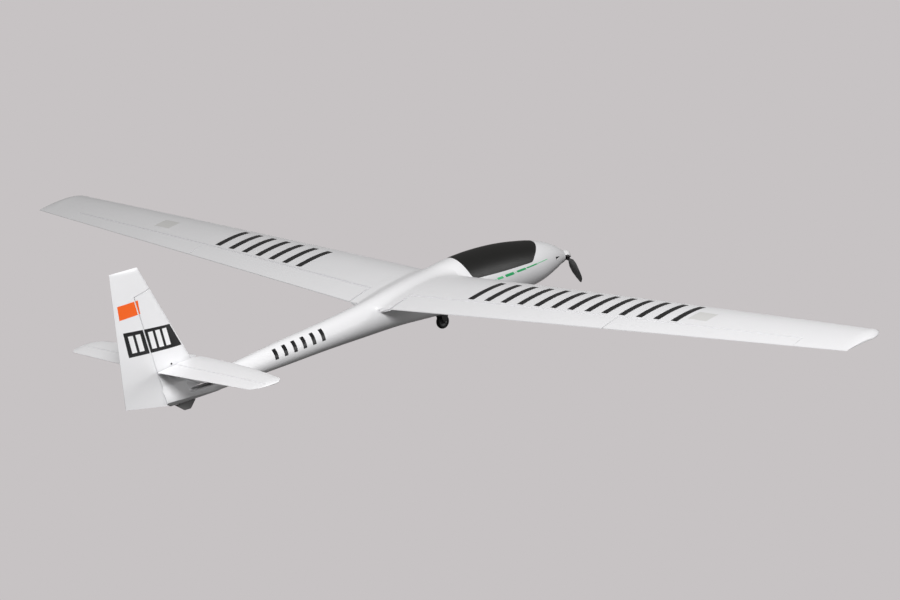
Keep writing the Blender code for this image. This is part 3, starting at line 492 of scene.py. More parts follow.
add_finish("foam", (0.80, 0.80, 0.815), 0.42, coat=0.10, bump=("cells", 240, 0.10, 0.0006), mottle=0.012)
add_finish("canopy", (0.006, 0.006, 0.0055), 0.45, bump=("noise", 900, 0.25, 0.0004), mottle=0.15,
           mottle_scale=60)
add_finish("decal", (0.006, 0.006, 0.007), 0.34, bump=("cells", 240, 0.05, 0.0006), mottle=0.10)
add_finish("decal_white", (0.82, 0.82, 0.83), 0.38, mottle=0.01)
add_finish("orange", (0.90, 0.13, 0.012), 0.38, mottle=0.03)
add_finish("green_dark", (0.02, 0.42, 0.14), 0.38, mottle=0.04)
add_finish("green", (0.10, 0.62, 0.26), 0.38, mottle=0.04)
add_finish("green_light", (0.42, 0.78, 0.55), 0.38, mottle=0.04)
add_finish("hatch", (0.70, 0.70, 0.69), 0.30, coat=0.2, mottle=0.01)
add_finish("black", (0.018, 0.018, 0.018), 0.40, bump=("noise", 700, 0.12, 0.0004), mottle=0.2)
add_finish("blade", (0.010, 0.010, 0.010), 0.30, bump=("noise", 500, 0.08, 0.0004), mottle=0.2)
add_finish("spinner", (0.78, 0.78, 0.79), 0.22, coat=0.4, mottle=0.01)
add_finish("tyre", (0.014, 0.014, 0.014), 0.75, bump=("noise", 1500, 0.5, 0.0005), mottle=0.25)
add_finish("hub", (0.16, 0.16, 0.165), 0.40, bump=("noise", 600, 0.1, 0.0004), mottle=0.1)
add_finish("skid", (0.16, 0.16, 0.16), 0.60, bump=("noise", 400, 0.4, 0.0006), mottle=0.3)
add_finish("steel", (0.55, 0.55, 0.57), 0.28, metallic=1.0, bump=("noise", 1200, 0.1, 0.0002), mottle=0.08)
add_finish("alloy", (0.72, 0.72, 0.74), 0.30, metallic=1.0, bump=("noise", 900, 0.1, 0.0002), mottle=0.05)
add_finish("carbon", (0.02, 0.02, 0.022), 0.25, coat=0.5, bump=("weave", 160, 0.2, 0.0003), mottle=0.3)
add_finish("white", (0.75, 0.75, 0.73), 0.35, bump=("noise", 600, 0.08, 0.0003), mottle=0.02)
add_finish("plywood", (0.55, 0.38, 0.20), 0.65, bump=("weave", 60, 0.4, 0.0004), mottle=0.18, mottle_scale=30)
add_finish("wrap", (0.02, 0.05, 0.22), 0.32, coat=0.3, bump=("noise", 80, 0.3, 0.001), mottle=0.1)
add_finish("strap", (0.015, 0.015, 0.016), 0.90, bump=("weave", 500, 0.8, 0.0006), mottle=0.3)
add_finish("grey", (0.20, 0.20, 0.21), 0.45, bump=("noise", 600, 0.1, 0.0003), mottle=0.05)


def paint(obj, finish):
    obj.data.materials.clear()
    obj.data.materials.append(MATERIALS[finish])
    return obj


def place(obj, body, finish, *nodes, slot=None):
    """Give a piece its body, finish and, where it stands for them, the frame nodes it replaces."""
    if finish:
        paint(obj, finish)
    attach(obj, body)
    if nodes:
        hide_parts(*nodes)
    return obj


# ---------------------------------------------------------------- fuselage
FILLET = 0.014
FIN_FILLET = 0.022
STUB_REACH = 0.075


def blend_union(a, b, reach):
    """Distance to two bodies joined by a fillet."""
    soft = np.maximum(reach - np.abs(a - b), 0) / reach
    return np.minimum(a, b) - soft ** 2 * reach / 4


def fin_stub(x, station, z):
    """Distance to the foot of the fin, which ends inside the fin itself."""
    height = (z - HINGE_FOOT[1] + (station - HINGE_FOOT[0]) * HINGE_LEAN) / LEAN_LENGTH
    aft = ((station - HINGE_FOOT[0]) - (z - HINGE_FOOT[1]) * HINGE_LEAN) / LEAN_LENGTH
    half = tail_half(height, aft) - 0.0002 - 0.001 * np.clip((z - 0.060) / 0.015, 0, 1)
    ahead = np.maximum(tail_le(height) - aft, 0)
    side = np.where(ahead > 0, np.hypot(ahead, x), x - half)
    return np.maximum(side, np.maximum(z - 0.078, 0.034 - z))


def fuselage_rings():
    """The outer skin, where the wing roots grow out of the sides through smooth fillets."""
    stations = np.concatenate((np.linspace(0.0225, 0.05, 12)[:-1], np.linspace(0.05, 0.32, 50)[:-1],
                               np.linspace(0.32, 0.352, 14)[:-1], np.linspace(0.352, 0.375, 26)[:-1],
                               np.linspace(0.375, 0.55, 44)[:-1], np.linspace(0.55, 0.60, 30)[:-1],
                               np.linspace(0.60, 1.130, 66)))
    middle, height, half = fuselage_shape(stations)
    t = np.linspace(-1, 1, 96)
    lift = np.exp(-((stations - 0.46) / 0.10) ** 4)
    slab_low, slab_high = wing_heights(0.05, stations)
    centre = middle + lift * 0.6 * ((slab_low + slab_high) / 2 - middle)
    tail = np.clip((stations - 0.80) / 0.12, 0, 1)[:, None]
    angle = np.pi / 2 * ((0.45 + 0.55 * tail) * t + 0.55 * (1 - tail) * t ** 3)
    direction = np.stack((np.cos(angle), np.sin(angle)), -1)
    reach = np.linspace(0.004, 0.095, 260)
    x = reach[None, None, :] * direction[:, :, 0, None]
    z = centre[:, None, None] + reach[None, None, :] * direction[:, :, 1, None]
    s = stations[:, None, None]
    rise = (z - middle[:, None, None]) / height[:, None, None]
    hull = (np.sqrt((x / half[:, None, None]) ** 2 + rise ** 2) - 1) * np.minimum(half, height)[:, None, None]
    bounded = np.clip(x, 0.0, STUB_REACH)
    le, te = wing_le(bounded), wing_te(bounded)
    low, high = wing_heights(bounded, np.clip(s, le, te))
    off = np.abs(z - (low + high) / 2)
    beyond = np.maximum(np.maximum(le - s, s - te), 0)
    slab = np.where(beyond > 0, np.hypot(beyond, off), off - (high - low) / 2)
    slab = np.maximum(slab, x - STUB_REACH)
    field = blend_union(hull, slab, FILLET)
    field = blend_union(field, fin_stub(x, s, z), FIN_FILLET)
    inside = field < 0
    last = reach.size - 1 - np.argmax(inside[:, :, ::-1], axis=2)
    last = np.clip(last, 0, reach.size - 2)
    a = np.take_along_axis(field, last[:, :, None], 2)[:, :, 0]
    b = np.take_along_axis(field, last[:, :, None] + 1, 2)[:, :, 0]
    step = reach[1] - reach[0]
    radius = reach[last] + step * np.clip(a / (a - b + 1e-12), 0, 1)
    px = radius * direction[:, :, 0]
    pz = centre[:, None] + radius * direction[:, :, 1]
    py = np.broadcast_to((stations - LENGTH / 2)[:, None], px.shape)
    port = np.stack((px, py, pz), -1)
    port[:, 0, 0] = 0
    port[:, -1, 0] = 0
    star = port[:, -2:0:-1] * np.array((-1, 1, 1))
    return np.concatenate((port, star), axis=1)


def fin_rings():
    """The fin, whose rear part is cut back round the rudder's nose."""
    rings = []
    for height in np.linspace(0.020, BALANCE_HEIGHT - 0.0006, 70):
        aft = crowded(tail_le(height), 0.0, 34)
        rings.append(mirrored(tail_point(tail_half(height, aft), height, aft)))
    return rings


def hinge_cone(name, clearance, low, high):
    """A round body on the rudder's hinge line, as thick as the rudder is there."""
    rings = []
    turn = 2 * np.pi * np.arange(48) / 48
    for height in np.linspace(low, high, 24):
        widening = 1 + math.exp(-(max(height, 0) / FOOT_HEIGHT) ** 2)
        radius = float(tail_half(height, 0.0)) + clearance * widening
        rings.append(tail_point(radius * np.cos(turn), height, radius * np.sin(turn)))
    return skin(name, rings, cutter=True)


def behind_hinge():
    corners = np.array(((-0.1, 0.0), (0.1, 0.0), (0.1, 0.2), (-0.1, 0.2)))
    rows = [tail_point(corners[:, 0], h, corners[:, 1]) for h in (-0.05, BALANCE_HEIGHT + 0.1)]
    return skin("behind_hinge", rows, cutter=True)


def motor_point(station):
    return Vector((0, along(station), THRUST_Z))


def rounded_side_outline(outline, radius, steps=5):
    """Round each corner of a side outline."""
    points = [Vector(p) for p in outline]
    result = []
    for i, point in enumerate(points):
        before, after = points[i - 1] - point, points[(i + 1) % len(points)] - point
        cut = min(radius, 0.45 * before.length, 0.45 * after.length)
        a, b = point + before.normalized() * cut, point + after.normalized() * cut
        for k in range(steps + 1):
            t = k / steps
            result.append(tuple(a * (1 - t) ** 2 + point * 2 * t * (1 - t) + b * t * t))
    return result


VENT = ((0.0520, 0.0850), (0.0675, 0.0880), (0.0655, 0.0790))


def vent_cutter(side):
    """A small three-sided cooling inlet in the flank of the nose."""
    matrix = Matrix.Translation((side * 0.030, 0, 0)) @ SIDE_VIEW
    return prism(f"vent_{side}", rounded_side_outline(VENT, 0.0008, 3), matrix, 0.014, cutter=True)


def build_vent_shade_linings():
    """Dark linings that close the cooling inlets behind the skin; their black is painted shade, standing for
    the dark inside the inlets.
    """
    for side, name in SIDES:
        matrix = Matrix.Translation((side * 0.0258, 0, 0)) @ SIDE_VIEW
        inlet_shade = prism(f"vent_shade_lining_{name}", shrink(VENT, 0.0001), matrix, 0.004)
        # the black of this lining is painted shade for the inside of the inlet
        place(inlet_shade, "airframe", "black", slot="black_plastic")


def build_fuselage():
    body = skin("fuselage", fuselage_rings())
    combine(body, "UNION", skin("fin", fin_rings(), cutter=True))
    inside = np.linspace(0.060, 1.050, 70)
    opening = rounded_side_outline(CANOPY_SIDE, CORNER_RADIUS)
    cutters = [
        skin("cavity", plain_rings(inside, WALL, 48), cutter=True),
        rod("motor_bay", motor_point(0.0282), motor_point(0.0720), 0.0152, True, 48),
        rod("shaft_hole", motor_point(0.010), motor_point(0.040), 0.0050, True),
        prism("canopy_opening", opening, SIDE_VIEW, 0.2, cutter=True),
        behind_hinge(),
        hinge_cone("rudder_nose_room", 0.0009, -0.05, BALANCE_HEIGHT + 0.01),
        pocket("wheel_well", (-0.0135, WHEEL_STATION - 0.0225, 0.010),
               (0.0135, WHEEL_STATION + 0.0225, 0.0360)),
        rod("joiner_bore", (-0.09, along(JOINER_STATION), JOINER_Z), (0.09, along(JOINER_STATION), JOINER_Z),
            JOINER_BORE, True),
        pocket("skid_slot", (-0.0026, 1.0494, 0.010), (0.0026, 1.0786, 0.0265)),
        pocket("elevator_rod_slot", (-0.0220, 0.996, 0.0380), (-0.0058, 1.064, 0.0690), 0.003),
        pocket("rudder_rod_slot", (0.0064, 0.985, 0.0340), (0.0300, 1.070, 0.0400), 0.0015),
        pocket("horn_room", (0.0105, 1.096, 0.0350), (0.0400, 1.126, 0.0480), 0.002),
        rod("elevator_bore", elevator_axis(-0.03), elevator_axis(0.03), 0.0016, True)]
    for side in (-1, 1):
        low, high = sorted((side * (ROOT_X - 0.0003), side * 0.2))
        cutters.append(pocket(f"root_plane_{side}", (low, 0.30, -0.1), (high, 0.80, 0.4)))
        cutters.append(vent_cutter(side))
    combine(body, "DIFFERENCE", *cutters)
    for side, name in SIDES:
        half = keep_side(duplicate(body, f"fuselage_{name}_skin"), side)
        smooth(half, 38)
        place(half, "airframe", "foam", f"fuselage_{name}_shell", slot="white_foam")
    bpy.data.objects.remove(body, do_unlink=True)


def build_tail_screws():
    """Countersunk screws through the fin that hold the stabiliser halves."""
    for side, name in SIDES:
        height = (0.0985 - HINGE_FOOT[1]) * 0.98
        spot = tail_point(side * float(tail_half(height, -0.040)), height, -0.040)
        head = rod(f"stabiliser_screw_{name}", spot - np.array((side * 0.002, 0, 0)),
                   spot + np.array((side * 0.0004, 0, 0)), 0.0021)
        place(head, "airframe", "black", slot="steel_wire")


def build_canopy():
    stations = np.linspace(0.095, 0.345, 90)
    shell = skin("canopy_shell", plain_rings(stations, 0.0, 128))
    outline = rounded_side_outline(shrink(CANOPY_SIDE, 0.0006), CORNER_RADIUS)
    combine(shell, "INTERSECT", prism("canopy_trim", outline, SIDE_VIEW, 0.2, cutter=True))
    inner = np.linspace(0.090, 0.350, 60)
    combine(shell, "DIFFERENCE", skin("canopy_inside", plain_rings(inner, CANOPY_WALL, 96), cutter=True))
    smooth(shell, 35)
    place(shell, "canopy", "canopy", "canopy", slot="canopy_black")


def shrink(outline, distance):
    points = [Vector(p) for p in outline]
    centre = sum(points, Vector((0, 0))) / len(points)
    result = []
    for i, point in enumerate(points):
        before = (point - points[i - 1]).normalized()
        after = (points[(i + 1) % len(points)] - point).normalized()
        normal = Vector((-before.y - after.y, before.x + after.x)).normalized()
        if normal.dot(centre - point) < 0:
            normal = -normal
        result.append(tuple(point + normal * distance))
    return result


# ---------------------------------------------------------------- wings
def wing_rows(side):
    xs = np.concatenate((np.linspace(ROOT_X, 1.20, 90)[:-1], SPAN / 2 - TIP_ROUNDING
                         + TIP_ROUNDING * np.sin(np.linspace(-0.35, math.pi / 2 * 0.985, 26))))
    return [section_row(side, x, (wing_le(x), wing_te(x)), 44, wing_heights) for x in xs]


def build_wings():
    for side, name in SIDES:
        wing = skin(f"wing_{name}_skin", wing_rows(side), sharp=50)
        root, tip = ROOT_X - 0.01, AILERON_X[1] + 0.0006
        cut = [(root, float(hinge_station(ROOT_X)) - HINGE_GAP),
               (0.646, float(hinge_station(FLAP_X[1])) - HINGE_GAP),
               (tip, float(hinge_station(AILERON_X[1])) - HINGE_GAP), (tip, 0.60), (root, 0.60)]
        matrix = Matrix(((side, 0, 0, 0), (0, 1, 0, -LENGTH / 2), (0, 0, 1, 0.13), (0, 0, 0, 1)))
        cutters = [prism("hinge_cut", cut, matrix, 0.16, cutter=True),
                   rod("bore", (side * 0.05, along(JOINER_STATION), JOINER_Z),
                       (side * 0.201, along(JOINER_STATION), JOINER_Z), JOINER_BORE, True)]
        for surface in ("flap", "aileron"):
            cutters += servo_cutters(surface, name, side)
        cutters.append(hatch_body(f"hatch_recess_{name}", name, 0.0004, 0.0012, 0.004, cutter=True))
        combine(wing, "DIFFERENCE", *cutters)
        smooth(wing, 38)
        place(wing, "airframe", "foam", f"wing_{name}", slot="white_foam")
        hatch = hatch_body(f"servo_hatch_{name}", name, 0.0, 0.0009, 0.0, cutter=False)
        place(hatch, "airframe", "hatch", f"aileron_servo_hatch_{name}", slot="hatch_film")
        build_surface(f"flap_{name}", side, FLAP_X, FLAP_OPEN_DOWN)
        build_surface(f"aileron_{name}", side, AILERON_X, OPEN_ANGLE)


def servo_cutters(surface, name, side):
    """Pocket for a servo that lies on its side, and the slot its arm swings in."""
    low, high = (Vector(v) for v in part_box(f"{surface}_servo_{name}"))
    grow = Vector((0.0005, 0.0005, 0.0004))
    arm_low, arm_high = (Vector(v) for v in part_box(f"{surface}_servo_arm_{name}"))
    pivot = Vector(((arm_low.x + arm_high.x) / 2, (arm_low.y + arm_high.y) / 2, arm_high.z - 0.0032))
    x0, x1 = sorted((side * (abs(pivot.x) - 0.0024), side * (abs(pivot.x) + 0.0020)))
    slot_low = Vector((x0, pivot.y - 0.0165, pivot.z - 0.03))
    slot_high = Vector((x1, pivot.y + 0.0120, pivot.z + 0.0040))
    return [block("pocket", low - grow - Vector((0, 0, 0.03)), high + grow, True),
            block("arm_slot", slot_low, slot_high, True)]


def hatch_body(label, name, grow, depth, rise, cutter):
    """A thin plate that follows the upper skin over the aileron servo."""
    low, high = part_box(f"aileron_servo_hatch_{name}")
    side = 1 if low[0] > 0 else -1
    x0, x1 = sorted((abs(low[0]), abs(high[0])))
    s0, s1 = low[1] + LENGTH / 2, high[1] + LENGTH / 2
    xs = np.linspace(x0 - grow, x1 + grow, 9)
    ss = np.linspace(s0 - grow, s1 + grow, 7)
    u, v = np.meshgrid(xs, ss, indexing="ij")
    return slab_on(label, lambda a, b: upper_skin(side, a, b), u, v, depth, rise, cutter)


def upper_skin(side, x, station):
    z = wing_heights(x, station)[1]
    return np.stack((side * x, station - LENGTH / 2, z), -1), np.array((0, 0, 1.0))


def slab_on(name, surface, u, v, depth, rise, cutter=False):
    """A thin closed plate that follows a surface over a grid of its two coordinates."""
    centre, normal = surface(u, v)
    top = centre + normal * rise
    bottom = centre - normal * depth
    m, n = u.shape
    verts = np.concatenate((top.reshape(-1, 3), bottom.reshape(-1, 3)))
    faces = []
    base = m * n
    for i in range(m - 1):
        for j in range(n - 1):
            a, b, c, d = i * n + j, i * n + j + 1, (i + 1) * n + j + 1, (i + 1) * n + j
            faces += [(a, b, c, d), (base + d, base + c, base + b, base + a)]
    rim = [(0, j) for j in range(n)] + [(i, n - 1) for i in range(1, m)]
    rim += [(m - 1, j) for j in range(n - 2, -1, -1)] + [(i, 0) for i in range(m - 2, 0, -1)]
    rim = [i * n + j for i, j in rim]
    for a, b in zip(rim, rim[1:] + rim[:1]):
        faces.append((a, base + a, base + b, b))
    bm = bmesh.new()
    points = [bm.verts.new(p) for p in verts]
    for face in faces:
        bm.faces.new([points[k] for k in face])
    return from_bmesh(name, bm, cutter, 40)


def build_surface(name, side, ends, open_down):
    """A control surface with a bevelled nose that meets its wing along a V groove."""
    rows = []
    for x in np.linspace(ends[0] + 0.0003, ends[1] - 0.0003, 60):
        station = ends_station(x, ends)
        z = hinge_height(x, ends)
        low, high = wing_heights(x, station)
        starts = (station + (high - z) * math.tan(OPEN_ANGLE), station + (z - low) * math.tan(open_down))
        rows.append(bevelled_row(side, x, station, z, starts, float(wing_te(x)), 16, wing_heights))
    obj = skin(f"{name}_skin", rows, sharp=25)
    place(obj, name, "foam", name, slot="white_foam")


def ends_station(x, ends):
    first, last = (float(hinge_station(e)) for e in ends)
    return first + (last - first) * (x - ends[0]) / (ends[1] - ends[0])


# ---------------------------------------------------------------- tail
def build_tailplane():
    xs = np.concatenate((np.linspace(STAB_ROOT_X, 0.270, 34)[:-1],
                         0.275 + (STAB_TIP_X - 0.275) * np.sin(np.linspace(-0.2, math.pi / 2 * 0.985, 20))))
    for side, name in SIDES:
        rows = [section_row(side, x, stab_edges(x), 30, stab_heights) for x in xs]
        stab = skin(f"stabiliser_{name}_skin", rows, sharp=50)
        low, high = sorted((0.0, side * (ELEVATOR_X[1] + 0.001)))
        cutters = [pocket("elevator_cut", (low, ELEVATOR_HINGE - HINGE_GAP, 0.0), (high, 1.20, 0.2))]
        tube_z = STAB_Z - STAB_DROOP * (STAB_TUBE_STATION - STAB_LE)
        cutters.append(rod("socket", (0, along(STAB_TUBE_STATION), tube_z),
                           (side * 0.121, along(STAB_TUBE_STATION), tube_z), STAB_TUBE_BORE, True))
        cutters.append(rod("relief", elevator_axis(side * 0.002), elevator_axis(side * 0.0415), 0.0019, True))
        combine(stab, "DIFFERENCE", *cutters)
        smooth(stab, 38)
        place(stab, "airframe", "foam", f"stabiliser_{name}", slot="white_foam")
        build_elevator(name, side)


def build_elevator(name, side):
    rows = []
    for x in np.linspace(ELEVATOR_X[0], ELEVATOR_X[1], 48):
        z = elevator_axis(x).z
        start = ELEVATOR_HINGE + (stab_heights(x, ELEVATOR_HINGE)[1] - z) * math.tan(OPEN_ANGLE)
        back = float(stab_edges(x)[1])
        rows.append(bevelled_row(side, x, ELEVATOR_HINGE, z, (start, start), back, 14, stab_heights))
    obj = skin(f"elevator_{name}_skin", rows, sharp=25)
    socket = rod("socket", elevator_axis(side * 0.002), elevator_axis(side * 0.0415), 0.0015, True)
    combine(obj, "DIFFERENCE", socket)
    smooth(obj, 25)
    place(obj, "elevator", "foam", f"elevator_{name}", slot="white_foam")


def build_rudder():
    """A rudder with a round nose, a horn balance over the fin and a rounded top edge."""
    rows = []
    for height in np.linspace(-0.004, BALANCE_HEIGHT + 0.004, 60):
        nose = np.linspace(0, math.pi / 2, 12)[1:]
        radius = float(tail_half(height, 0.0))
        steps = np.linspace(0.0, float(tail_te(height)), 24)[1:]
        right = [(0.0, -radius)] + list(zip(radius * np.sin(nose), -radius * np.cos(nose)))
        right = np.array(right + list(zip(tail_half(height, steps), steps)))
        both = np.concatenate((right, right[:0:-1] * (-1, 1)))
        rows.append(tail_point(both[:, 0], height, both[:, 1]))
    rudder = skin("rudder_skin", rows)
    top = []
    heights = (np.linspace(BALANCE_HEIGHT + 0.0004, 0.296, 20), np.linspace(0.297, 0.335, 46))
    for height in np.concatenate(heights):
        aft = crowded(tail_le(height), tail_te(height), 36)
        z = tail_point(0 * aft, height, aft)[:, 2]
        crown = np.sqrt(1 - np.clip((z - FIN_TOP_Z + 0.0065) / 0.0066, 0, 0.999) ** 2)
        top.append(mirrored(tail_point(tail_half(height, aft) * crown, height, aft)))
    combine(rudder, "UNION", skin("balance", top, cutter=True))
    corners = [(-0.1, -0.02, 0.0), (0.1, -0.02, 0.0), (0.1, 0.105, 0.0436), (-0.1, 0.105, 0.0436)]
    under = np.array([tail_point(x, h, a) for x, a, h in corners])
    combine(rudder, "DIFFERENCE", block("above", (-0.1, 0.3, FIN_TOP_Z - 0.0001), (0.1, 0.8, 0.5), True),
            skin("under", [under - HINGE_UP * 0.1, under], cutter=True))
    smooth(rudder, 30)
    place(rudder, "rudder", "foam", "rudder", slot="white_foam")


# ---------------------------------------------------------------- markings
DECAL_DEPTH = 0.0002
DECAL_RISE = 0.00025
FIN_DECAL_DEPTH = 0.00008
FIN_DECAL_RISE = 0.00014
FIN_BLOCK_RISE = 0.00024


def build_wing_markings():
    """A row of even bars on both wings: a plain geometric pattern."""
    u, v = np.meshgrid(np.linspace(0, 1, 7), np.linspace(0, 1, 14), indexing="ij")
    for side, name, start, end, count in ((-1, "right", 0.222, 0.825, 13), (1, "left", 0.310, 0.645, 7)):
        pitch = (end - start) / count
        for i in range(count):
            x0 = start + pitch * i
            rear = float(hinge_station(x0)) - 0.006
            front = rear - (0.094 - 0.020 * (x0 - 0.2))
            bar = slab_on(f"wing_{name}_bar_{i + 1}", lambda a, b: upper_skin(side, a, b),
                          x0 + pitch * 0.36 * u, front + (rear - front) * v, DECAL_DEPTH, DECAL_RISE)
            place(bar, "airframe", "decal", slot="white_foam")


def flank(side, height, aft):
    """The skin of the fin and rudder, with its outward normal."""
    half = tail_half(height, aft)
    return tail_point(side * half, height, aft), np.array((side, 0, 0.0))


def fin_patch(name, side, corners, finish, body, rise=FIN_DECAL_RISE):
    """A patch on the fin or rudder between four corners given as (height, aft)."""
    u, v = np.meshgrid(np.linspace(0, 1, 12), np.linspace(0, 1, 12), indexing="ij")
    c = np.array(corners)
    grid = ((1 - u) * (1 - v))[..., None] * c[0] + (u * (1 - v))[..., None] * c[1]
    grid = grid + (u * v)[..., None] * c[2] + ((1 - u) * v)[..., None] * c[3]
    obj = slab_on(name, lambda a, b: flank(side, a, b), grid[..., 0], grid[..., 1], FIN_DECAL_DEPTH, rise)
    return place(obj, body, finish, slot="white_foam")


def split_patch(name, side, corners, finish):
    """A panel across the hinge line: one piece on the rudder and one on the fin.

    corners are the rear top, front top, front bottom and rear bottom as (height, aft)."""
    (h0, a0), (h1, a1), (h2, a2), (h3, a3) = corners

    def crossing(h_rear, a_rear, h_front, a_front, aft):
        return h_rear + (h_front - h_rear) * (aft - a_rear) / (a_front - a_rear), aft

    rear = (corners[0], crossing(h0, a0, h1, a1, 0.0006), crossing(h3, a3, h2, a2, 0.0006), corners[3])
    front = (crossing(h0, a0, h1, a1, -0.0024), corners[1], corners[2], crossing(h3, a3, h2, a2, -0.0024))
    fin_patch(f"rudder_{name}", side, rear, finish, "rudder")
    fin_patch(f"fin_{name}", side, front, finish, "airframe")


def build_fin_markings():
    """A plain orange panel, and a black band with white blocks."""
    for side, name in SIDES:
        split_patch(f"{name}_orange", side, ((0.2412, 0.0402), (0.2339, -0.0083), (0.2060, -0.0049),
                                             (0.2128, 0.0443)), "orange")
        split_patch(f"{name}_band", side, ((0.1860, 0.0450), (0.1560, -0.0655), (0.1040, -0.0795),
                                           (0.1340, 0.0480)), "decal")
        blocks = ((0.0090, 0.0200, "rudder"), (0.0260, 0.0370, "rudder"), (-0.0200, -0.0090, "airframe"),
                  (-0.0370, -0.0260, "airframe"), (-0.0540, -0.0430, "airframe"))
        for i, (front, rear, body) in enumerate(blocks):
            base, lift = 0.1305 + 0.24 * front, 0.24 * (rear - front)
            fin_patch(f"band_{name}_block_{i + 1}", side,
                      ((base + 0.036 + lift, rear), (base + 0.036, front), (base, front + 0.001),
                       (base + lift, rear + 0.001)), "decal_white", body, FIN_BLOCK_RISE)


def side_skin(side, angle, station):
    """A point and normal on the flank of the fuselage, at an angle above its widest line."""
    middle, height, half = fuselage_shape(station.ravel())
    shape = station.shape
    middle, height, half = (a.reshape(shape) for a in (middle, height, half))
    point = np.stack((side * half * np.cos(angle), station - LENGTH / 2, middle + height * np.sin(angle)), -1)
    normal = np.stack((side * height * np.cos(angle), 0 * angle, half * np.sin(angle)), -1)
    return point, normal / np.linalg.norm(normal, axis=-1, keepdims=True)


def build_boom_marking():
    """A row of even upright bars on each flank of the boom."""
    for side, name in SIDES:
        for i in range(6):
            start = 0.712 + 0.0245 * i
            u, v = np.meshgrid(np.linspace(0.04, 0.98, 8), np.linspace(0, 0.0090, 4), indexing="ij")
            obj = slab_on(f"boom_{name}_bar_{i + 1}", lambda a, b: side_skin(side, a, b), u, start + v,
                          DECAL_DEPTH, DECAL_RISE)
            place(obj, "airframe", "decal", slot="white_foam")


def build_stripe():
    """Dashes that thin out towards the nose, under the canopy."""
    dashes = ((0.2600, 0.2720, 0.0022, "green_light"), (0.2400, 0.2560, 0.0050, "green"),
              (0.2080, 0.2330, 0.0060, "green_dark"), (0.2020, 0.2050, 0.0040, "green_light"),
              (0.1720, 0.1985, 0.0044, "green_dark"), (0.1360, 0.1690, 0.0028, "green_dark"),
              (0.1000, 0.1345, 0.0012, "green"))
    for side, name in SIDES:
        for i, (s0, s1, width, finish) in enumerate(dashes):
            u, v = np.meshgrid(np.linspace(-0.5, 0.5, 4), np.linspace(0, 1, 14), indexing="ij")
            station = s0 + (s1 - s0) * v + 0.004 * u
            line = 0.0862 + (0.2578 - station) * 0.036
            middle, height, _ = fuselage_shape(station.ravel())
            z = line + width * u
            angle = np.arcsin(np.clip((z - middle.reshape(z.shape)) / height.reshape(z.shape), -1, 1))
            obj = slab_on(f"stripe_{name}_{i + 1}", lambda a, b: side_skin(side, a, b), angle, station,
                          DECAL_DEPTH, 0.0003)
            place(obj, "airframe", finish, slot="white_foam")


# ---------------------------------------------------------------- propeller
def hub_matrix(side):
    roll = Matrix.Rotation(-HUB_ROLL, 4, "Y")
    return Matrix.Translation(motor_point(HUB_STATION)) @ roll @ Matrix.Diagonal((side, 1, side, 1))


FORWARD = Matrix.Rotation(math.pi / 2, 4, "X")


def build_propeller():
    turns = np.linspace(0.08, math.pi / 2, 16)
    nose = [(0.0112 * math.sin(a) ** 0.8, -0.0115 * (1 - math.cos(a))) for a in turns]
    skirt = [(0.0112, -0.0208), (0.0094, -0.0208), (0.0094, -0.0110), (0.0, -0.0110)]
    tip = Matrix.Translation(motor_point(0.0))
    spinner = turned("spinner_cap", [(0.0, 0.0)] + nose + skirt, tip @ FORWARD)
    slots = []
    for side in (-1, 1):
        notch = block(f"arm_notch_{side}", (0.003, -0.0045, -0.0048), (0.03, 0.03, 0.0048), True)
        notch.data.transform(hub_matrix(side))
        slots.append(notch)
    combine(spinner, "DIFFERENCE", *slots)
    smooth(spinner, 35)
    place(spinner, "propeller", "spinner", "spinner", slot="white_plastic")
    for side, name in SIDES:
        build_blade(side, name)
    paint(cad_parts["propeller_hub"], "blade")


def build_blade(side, name):
    """A twisted blade with a swelling chord and a round root eye on the hub pin."""
    keys = np.array(((0.002, 0.0022, 0.0026, 0), (0.008, 0.0023, 0.0026, 0), (0.016, 0.0046, 0.0022, 30),
                     (0.030, 0.0085, 0.0016, 27), (0.060, 0.0105, 0.0013, 20), (0.095, 0.0092, 0.0010, 14),
                     (0.122, 0.0070, 0.0008, 11), (BLADE_LENGTH, 0.0048, 0.0006, 10)))
    reach = np.linspace(0.002, BLADE_LENGTH, 60)
    chord, thick, pitch = (np.interp(reach, keys[:, 0], keys[:, k]) for k in (1, 2, 3))
    angle = 2 * np.pi * np.arange(28) / 28
    rows = []
    for r, c, t, p in zip(reach, chord, thick, np.radians(pitch)):
        q, w = c * np.cos(angle), t * np.sin(angle) * (1 + 0.25 * np.cos(angle))
        across, axial = w * np.cos(p) + q * np.sin(p), q * np.cos(p) - w * np.sin(p)
        rows.append(np.stack((np.full(28, r), across, axial), -1))
    blade = skin(f"blade_{name}_skin", rows, sharp=50)
    root = rod("root", (0, 0, -0.0024), (0, 0, 0.0024), 0.0036, True, 40)
    bore = rod("bore", (0, 0, -0.01), (0, 0, 0.01), 0.0018, True)
    combine(blade, "UNION", root)
    combine(blade, "DIFFERENCE", bore)
    sweep = Matrix.Rotation(BLADE_SWEEP, 4, "Z")
    blade.data.transform(hub_matrix(side) @ Matrix.Translation((PIVOT_RADIUS, 0, 0)) @ sweep)
    smooth(blade, 40)
    place(blade, f"blade_{name}", "blade", f"propeller_blade_{name}", slot="propeller_black")


# ---------------------------------------------------------------- undercarriage
ACROSS = Matrix.Rotation(math.pi / 2, 4, "Y")


